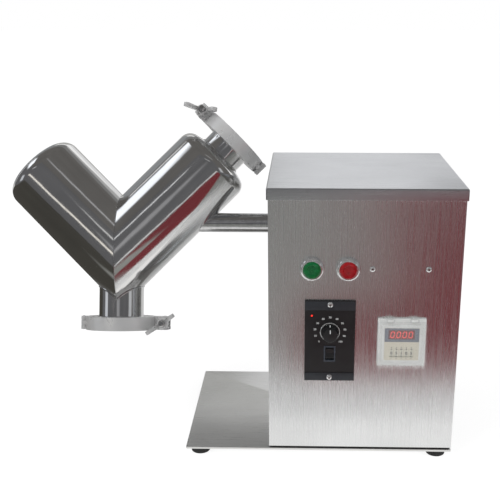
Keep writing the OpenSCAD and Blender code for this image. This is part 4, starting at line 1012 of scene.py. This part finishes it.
def speed_controller():
    dress("speed_panel", "panel_black", 0.4, 3)
    dress("speed_body", "panel_black", 0.3)
    panel_strips()
    low, high = box("speed_screws")
    places = [at(KNOB_X, PANEL_Y - STRIP_STEP, z, TO_FRONT) for z in (low.z + DOME_R, high.z - DOME_R)]
    screws("speed_dome_screws", places, "chrome", "speed_screws")
    knob()
    rocker()
    dial_print()
    lamp_dot = lathe([(0, 0.5), (0.7, 0.42), (1.1, 0), (1.1, -0.3), (0, -0.3)], 24)
    piece("controller_lamp", lamp_dot, "red_lamp", None,
          at(SPEED_LOW.x + 8.5, PANEL_Y, SPEED_HIGH.z - 19, TO_FRONT))


# Timer

TIMER_LOW, TIMER_HIGH = box("timer_face")
TIMER = middle("timer_face")
FACE_HALF = (TIMER_HIGH.x - TIMER_LOW.x) / 2
WINDOW = (-16.2, 6.6, 15.4, 18.4)
MASK_LOW = 3.2
MASK_T = 0.35
MASK_BEVEL = 0.1
DIGIT_W = 4.1
DIGIT_H = 7.4
DIGIT_BAR = 1.05
DIGIT_GAP = 0.14
DIGIT_LEAN = 0.12
DIGIT_STEP = 7.3
DIGIT_Z = 12.5
FIRST_DIGIT = -11.3
FIRST_POINT = -7.9
POINT_R = 0.45
POINT_Z = 8.2
PRINT_T = 0.1
WHEEL_STEP = 6
WHEEL_SHOWN = (0, 5, 1, 0, 5)


def on_face(depth=0.0):
    """A place in the middle of the timer's face, with Z out of it."""
    return at(TIMER.x, TIMER_LOW.y - depth, TIMER.z, TO_FRONT)


def display_bar(bm, origin, centre, length, upright):
    """One pointed bar of a display digit."""
    long, half = length / 2 - DIGIT_BAR / 2 - DIGIT_GAP, DIGIT_BAR / 2
    outline = []
    for along, across in ((-long - half, 0), (-long, -half), (long, -half), (long + half, 0), (long, half),
                          (-long, half)):
        x, z = (across, along) if upright else (along, across)
        x, z = centre[0] + x, centre[1] + z
        outline.append((origin[0] + x + DIGIT_LEAN * z, origin[1] + z))
    prism(outline, 0, PRINT_T, bm=bm)


def display_zero(bm, x, z):
    """A zero of six bars."""
    w, h = DIGIT_W / 2, DIGIT_H / 2
    for side in (1, -1):
        display_bar(bm, (x, z), (0, side * h), DIGIT_W, False)
        for level in (h / 2, -h / 2):
            display_bar(bm, (x, z), (side * w, level), h, True)


def display_mask():
    """The blue-grey plate of the face, with its window."""
    bm = bmesh.new()
    edge = FACE_HALF - 0.2
    outer, under = (-edge, MASK_LOW, edge, edge), MASK_T - MASK_BEVEL
    rows = [box_row(bm, outer, inset, 0.8, z) for inset, z in ((0, 0), (0, under), (MASK_BEVEL, MASK_T))]
    rows += [box_row(bm, WINDOW, inset, 0.6, z) for inset, z in ((-MASK_BEVEL, MASK_T), (0, under), (0, 0))]
    loft(bm, rows, closed=True)
    piece("display_mask", bm, "mask_blue", None, on_face())


def display():
    """The mask, dark red glass behind its window, and four lit digits."""
    display_mask()
    x0, y0, x1, y1 = WINDOW
    pane = slab((x0, y0, -0.05), (x1, y1, 0.12), 0.04, 1)
    piece("display_glass", pane, "display_glass", None, on_face())
    digits = bmesh.new()
    for k in range(4):
        display_zero(digits, FIRST_DIGIT + DIGIT_STEP * k, DIGIT_Z)
    for k in range(3):
        disc(POINT_R, 0, PRINT_T, 16, digits, (FIRST_POINT + DIGIT_STEP * k, POINT_Z, 0))
    piece("display_digits", digits, "digit_red", None, on_face(0.13))


def wheel_signs():
    """Plus and minus signs over and under each digit wheel."""
    bm = bmesh.new()
    level = middle("digit_wheel_3").z - TIMER.z
    for i in range(5):
        x = (i - 2) * WHEEL_STEP
        for y, half_w, half_h, top in ((level + 7.2, 0.8, 0.18, 0.06), (level + 7.2, 0.18, 0.8, 0.065),
                                       (level - 7.0, 0.8, 0.18, 0.06)):
            slab((x - half_w, y - half_h, 0), (x + half_w, y + half_h, top), bm=bm)
    piece("wheel_signs", bm, "black_ink", None, on_face())


def digit_wheels():
    """Ten digits round each wheel, turning with it."""
    for i, first in enumerate(WHEEL_SHOWN, 1):
        node = "digit_wheel_%d" % i
        dress(node, "wheel_cream", 0.25)
        low, high = box(node)
        print_r = (high.z - low.z) / 2 + 0.015
        centre = at(*middle(node))
        texts = [str((first + k) % 10) for k in range(10)]
        places = [centre @ at(0, 0, 0, 36 * k) @ at(0, -print_r, 0, TO_FRONT) for k in range(10)]
        lettering("wheel_numbers_%d" % i, texts, 5.4, places, "black_ink", node, 0.02, 0.18)


def timer():
    dress("timer_housing", "timer_white", 0.55, 3)
    dress("timer_face", "timer_beige", 0.1)
    dress("timer_cover", "clear_cover", 0.7, 3)
    display()
    wheel_signs()
    digit_wheels()


# Drive and rear

DRIVE_LOOKS = (
    ("drive_frame", "frame_paint", 0.5),
    ("bearing_housings", "housing_paint", 1.0, 3),
    ("bearing_inserts", "turned_steel", 0.6),
    ("driven_pulley", "aluminium", 0.4),
    ("motor_pulley", "aluminium", 0.4),
    ("gearbox", "gear_casting", 2.0, 3),
    ("motor_bracket", "frame_paint", 0.5),
    ("motor_bolts", "turned_steel"),
    ("contact_blocks", "body_black", 0.8),
    ("terminal_rail", "terminal_beige", 0.5),
    ("drive_belt", "black_rubber", 0.4),
)
RIB_STEP = 5
RIB_ROOT = 0.955
CAP_SCREW_SET = 0.84


def motor():
    """Motor body with cooling ribs, a flanged end cap and screws."""
    low, high = box("motor")
    radius = (high.z - low.z) / 2
    length = high.x - low.x
    root = radius * RIB_ROOT
    place = at(low.x, *middle("motor")[1:], 90, "Y")
    outline = [(0, 0), (radius * 0.97, 0), (radius, 2), (radius, 8), (root, 9)]
    z = 12
    while z < length - 18:
        outline += [(root, z), (radius, z + 0.6), (radius, z + 2.2), (root, z + 2.8)]
        z += RIB_STEP
    outline += [(root, length - 14), (radius, length - 13), (radius, length - 8), (radius - 4, length),
                (0, length)]
    piece("motor_case", lathe(fillet(outline, 0.5, 2)), "motor_paint", "motor", place)
    caps = bmesh.new()
    head = [(0, length - 5.8), (2.6, length - 5.9), (2.9, length - 6.4), (2.9, length - 9), (0, length - 9)]
    for screw in circle(CAP_SCREW_SET * radius, 4, start=math.pi / 4):
        lathe(head, 6, caps, screw)
    piece("motor_cap_screws", caps, "turned_steel", None, place)


def capacitor():
    dress("capacitor", "capacitor_can", 1.2, 3)
    low, high = box("capacitor")
    bm = bmesh.new()
    for y in (middle("capacitor").y - 4, middle("capacitor").y + 4):
        slab((low.x - 6, y - 2.5, high.z - 15.4), (low.x + 0.2, y + 2.5, high.z - 14.6), 0.2, 1, bm)
    piece("capacitor_tabs", bm, "turned_steel")


def power_inlet():
    """Inlet with three flat pins."""
    dress("power_inlet", "body_black", 0.8, 3)
    centre, back = middle("power_inlet"), box("power_inlet")[1].y
    bm = bmesh.new()
    for dx, dz in ((-7, -2), (7, -2), (0, 2)):
        x, z = centre.x + dx, centre.z + dz
        slab((x - 1, back - 14, z - 2), (x + 1, back - 2, z + 2), 0.35, 2, bm)
    piece("inlet_pins", bm, "turned_steel")


def drive():
    for look in DRIVE_LOOKS:
        dress(*look)
    motor()
    capacitor()
    power_inlet()


# Studio, in metres

CAMERA_PLACE = Vector((-20.7, -1046.5, 565.6)) * MM
CAMERA_PITCH = math.radians(17.452)
CAMERA_YAW = math.radians(-1.355)
WORLD_LIGHT = 0.55
FLOOR_HALF = 12
FLOOR_GLOW = 1.35
FLOOR_GLOW_SHARE = 0.6
LOWEST_CARD = 0.004
SQUARE = ((-1, -1), (1, -1), (1, 1), (-1, 1))


def aim(obj, place, ahead):
    """Puts a camera or lamp in the scene, looking along a direction."""
    bpy.context.scene.collection.objects.link(obj)
    obj.location = place
    obj.rotation_mode = "QUATERNION"
    obj.rotation_quaternion = ahead.to_track_quat("-Z", "Y")


def camera():
    data = bpy.data.cameras.new("camera")
    data.sensor_width = 36
    data.lens = 60.02
    data.shift_x, data.shift_y = -0.0683, 0.00724
    data.clip_start, data.clip_end = 0.05, 60
    cam = bpy.data.objects.new("camera", data)
    level = math.cos(CAMERA_PITCH)
    ahead = Vector((math.sin(CAMERA_YAW) * level, math.cos(CAMERA_YAW) * level, -math.sin(CAMERA_PITCH)))
    aim(cam, CAMERA_PLACE, ahead)
    bpy.context.scene.camera = cam


def mix_shaders(tree, share, first, second, output):
    mixed = wire(tree, "MixShader", {0: share, 1: first, 2: second})
    tree.links.new(mixed.outputs[0], tree.nodes[output].inputs["Surface"])


def world():
    """White to the camera, in metal and in glass, and a dim light to the rest."""
    made = bpy.data.worlds.new("studio")
    bpy.context.scene.world = made
    made.use_nodes = True
    tree = made.node_tree
    light = tree.nodes["Background"]
    light.inputs["Color"].default_value = (1, 1, 1, 1)
    light.inputs["Strength"].default_value = WORLD_LIGHT
    path = wire(tree, "LightPath").outputs
    seen = wire(tree, "Math", {0: path["Is Camera Ray"], 1: path["Is Glossy Ray"]}, operation="MAXIMUM")
    both = wire(tree, "Math", {0: seen, 1: path["Is Transmission Ray"]}, operation="MAXIMUM")
    white = wire(tree, "Background", {"Color": (1, 1, 1, 1), "Strength": 1})
    mix_shaders(tree, both, light, white, "World Output")


def floor():
    """White floor that still takes the object's shadow."""
    made = Paint("floor", grey(0.86), 0.9)
    made.cloud((2, 2), grey(0.85), grey(0.87))
    glow = wire(made.tree, "Emission", {"Strength": FLOOR_GLOW})
    path = wire(made.tree, "LightPath").outputs
    share = wire(made.tree, "Math", {0: path["Is Camera Ray"], 1: FLOOR_GLOW_SHARE}, operation="MULTIPLY")
    mix_shaders(made.tree, share, made.bsdf, glow, "Material Output")
    bm = bmesh.new()
    bm.faces.new([bm.verts.new((x * FLOOR_HALF, y * FLOOR_HALF, 0)) for x, y in SQUARE])
    put("floor", bm, made.material)


def card_paint(name, centre, half, soft, colour):
    """Emission inside a soft rectangle in the card's plane, and clear outside."""
    material = bpy.data.materials.new(name)
    material.use_nodes = True
    tree = material.node_tree
    tree.nodes.remove(tree.nodes["Principled BSDF"])
    where = wire(tree, "TexCoord").outputs["Object"]
    noise = wire(tree, "TexNoise", {"Scale": 1.7, "Detail": 2, "Vector": where})
    away = wire(tree, "VectorMath", {0: where, 1: centre}, operation="SUBTRACT")
    size = wire(tree, "VectorMath", {0: away}, operation="ABSOLUTE")
    past = wire(tree, "VectorMath", {0: size, 1: half}, operation="SUBTRACT")
    over = wire(tree, "VectorMath", {0: past, 1: (0, 0, 0)}, operation="MAXIMUM")
    length = wire(tree, "VectorMath", {0: over}, operation="LENGTH").outputs["Value"]
    fade = wire(tree, "MapRange", {"From Max": soft, "Value": length}, interpolation_type="SMOOTHSTEP")
    tones = [(*(part * share for part in colour), 1) for share in (0.8, 1.2)]
    tone = wire(tree, "MixRGB", {0: noise.outputs["Fac"], 1: tones[0], 2: tones[1]})
    glow = wire(tree, "Emission", {"Color": tone})
    mix_shaders(tree, fade, glow, wire(tree, "BsdfTransparent"), "Material Output")
    return material


def card(name, x, y, z, colour, soft):
    """A flat card with soft edges that shows only in polished metal: it neither lights nor shades.

    Two of its ranges are pairs and the third is a plain place.
    """
    ranges = [(v, v) if isinstance(v, (int, float)) else v for v in (x, y, z)]
    centre = [(low + high) / 2 for low, high in ranges]
    half = [(high - low) / 2 for low, high in ranges]
    one, two = [i for i in range(3) if half[i]]
    bm = bmesh.new()
    corners = []
    for a, b in SQUARE:
        corner = list(centre)
        corner[one] += a * (half[one] + soft)
        corner[two] += b * (half[two] + soft)
        corner[2] = max(corner[2], LOWEST_CARD)
        corners.append(bm.verts.new(corner))
    bm.faces.new(corners)
    obj = put(name, bm, card_paint(name, centre, half, soft, colour))
    obj.visible_camera = obj.visible_diffuse = obj.visible_shadow = False
    obj.visible_transmission = obj.visible_volume_scatter = False


WALL = (0.12, 0.12, 0.125)
DIM = (0.13, 0.125, 0.12)
RED = (0.17, 0.036, 0.042)
CARDS = (
    ("room_front", (-2.8, 2.3), -2.3, (0, 2.7), WALL, 0.02),
    ("room_ceiling", (-2.8, 2.3), (-2.3, 1.7), 2.7, DIM, 0.02),
    ("room_right", 2.3, (-2.3, 0.9), (0, 2.7), DIM, 0.02),
    ("room_left", -2.8, (-2.3, 1.4), (0, 2.7), WALL, 0.02),
    ("room_back", (-2.8, 2.3), 1.7, (1.7, 2.7), grey(0.2), 0.25),
    ("room_back_left", (-2.8, -1.0), 1.6, (0.25, 1.6), (0.27, 0.28, 0.29), 0.2),
    ("room_back_right", (0.5, 2.3), 1.65, (0.95, 1.7), grey(0.42), 0.15),
    ("room_back_middle", (-1.0, -0.24), 1.62, (0.05, 1.2), (0.45, 0.45, 0.44), 0.1),
    ("room_back_low", (-0.3, 1.2), 1.63, (0.05, 0.95), (0.78, 0.78, 0.79), 0.15),
    ("floor_left", (-2.8, -0.52), (-2.3, 1.0), 0.004, (0.06, 0.057, 0.05), 0.2),
    ("floor_front", (-0.7, 0.3), (-2.2, -0.42), 0.005, (0.28, 0.285, 0.272), 0.14),
    ("floor_right", (0.9, 2.3), (-0.4, 1.0), 0.004, (0.10, 0.10, 0.09), 0.3),
    ("floor_red", (0.22, 2.3), (-2.2, -0.42), 0.007, RED, 0.09),
    ("floor_red_near", (0.0, 0.5), (-0.62, -0.36), 0.0075, RED, 0.07),
    ("wall_red", (0.7, 2.3), -2.25, (0, 0.03), RED, 0.05),
    ("floor_near", (-0.3, 0.7), (-0.18, -0.1), 0.008, (0.85, 0.85, 0.84), 0.05),
    ("light_streak", -1.9, (-0.25, 0.5), (1.5, 2.1), (1.25, 1.3, 1.38), 0.32),
    ("light_side_left", -2.75, (-1.1, -0.5), (0.4, 0.9), (0.6, 0.62, 0.66), 0.2),
    ("light_side_right", 2.25, (-2.0, -1.3), (0.6, 1.2), (0.5, 0.51, 0.53), 0.25),
    ("light_left", (-2.2, -0.8), -2.25, (0.77, 0.85), (1.05, 1.0, 0.92), 0.06),
    ("light_right", (0.1, 1.2), -2.24, (0.10, 0.14), grey(0.75), 0.05),
    ("light_middle", (-0.7, -0.3), -2.23, (0.97, 1.12), (0.32, 0.32, 0.33), 0.22),
    ("light_high", (-0.4, 0.6), -2.22, (1.77, 1.85), grey(0.62), 0.07),
    ("light_top", (0.3, 1.6), (-1.45, -1.35), 2.66, (0.42, 0.42, 0.43), 0.1),
    ("light_corner", (-2.0, -1.1), -2.21, (1.93, 2.0), (0.85, 0.86, 0.88), 0.07),
)


def lamp(name, place, target, size, power):
    data = bpy.data.lights.new(name, "AREA")
    data.size = size
    data.energy = power
    obj = bpy.data.objects.new(name, data)
    obj.visible_glossy = False
    aim(obj, place, Vector(target) - Vector(place))


def studio():
    """Camera, light and floor, and the dim room that the drum and the cabinet mirror.

    The cards stand where the reflections in the photograph call for them.
    """
    camera()
    world()
    floor()
    for places in CARDS:
        card(*places)
    lamp("key_lamp", (-1.5, -1.1, 2.1), (-0.15, 0, 0.25), 1.4, 26)
    lamp("fill_lamp", (1.6, -1.6, 1.3), (0.05, 0, 0.2), 1.2, 9)
    bpy.context.scene.view_settings.view_transform = "Standard"


def rounded(vector):
    return [round(v, 5) for v in vector]


studio()
for make, *values in FINISHES:
    make(*values)
for group in (drum, clamps, cabinet, push_buttons, speed_controller, timer, drive):
    group()
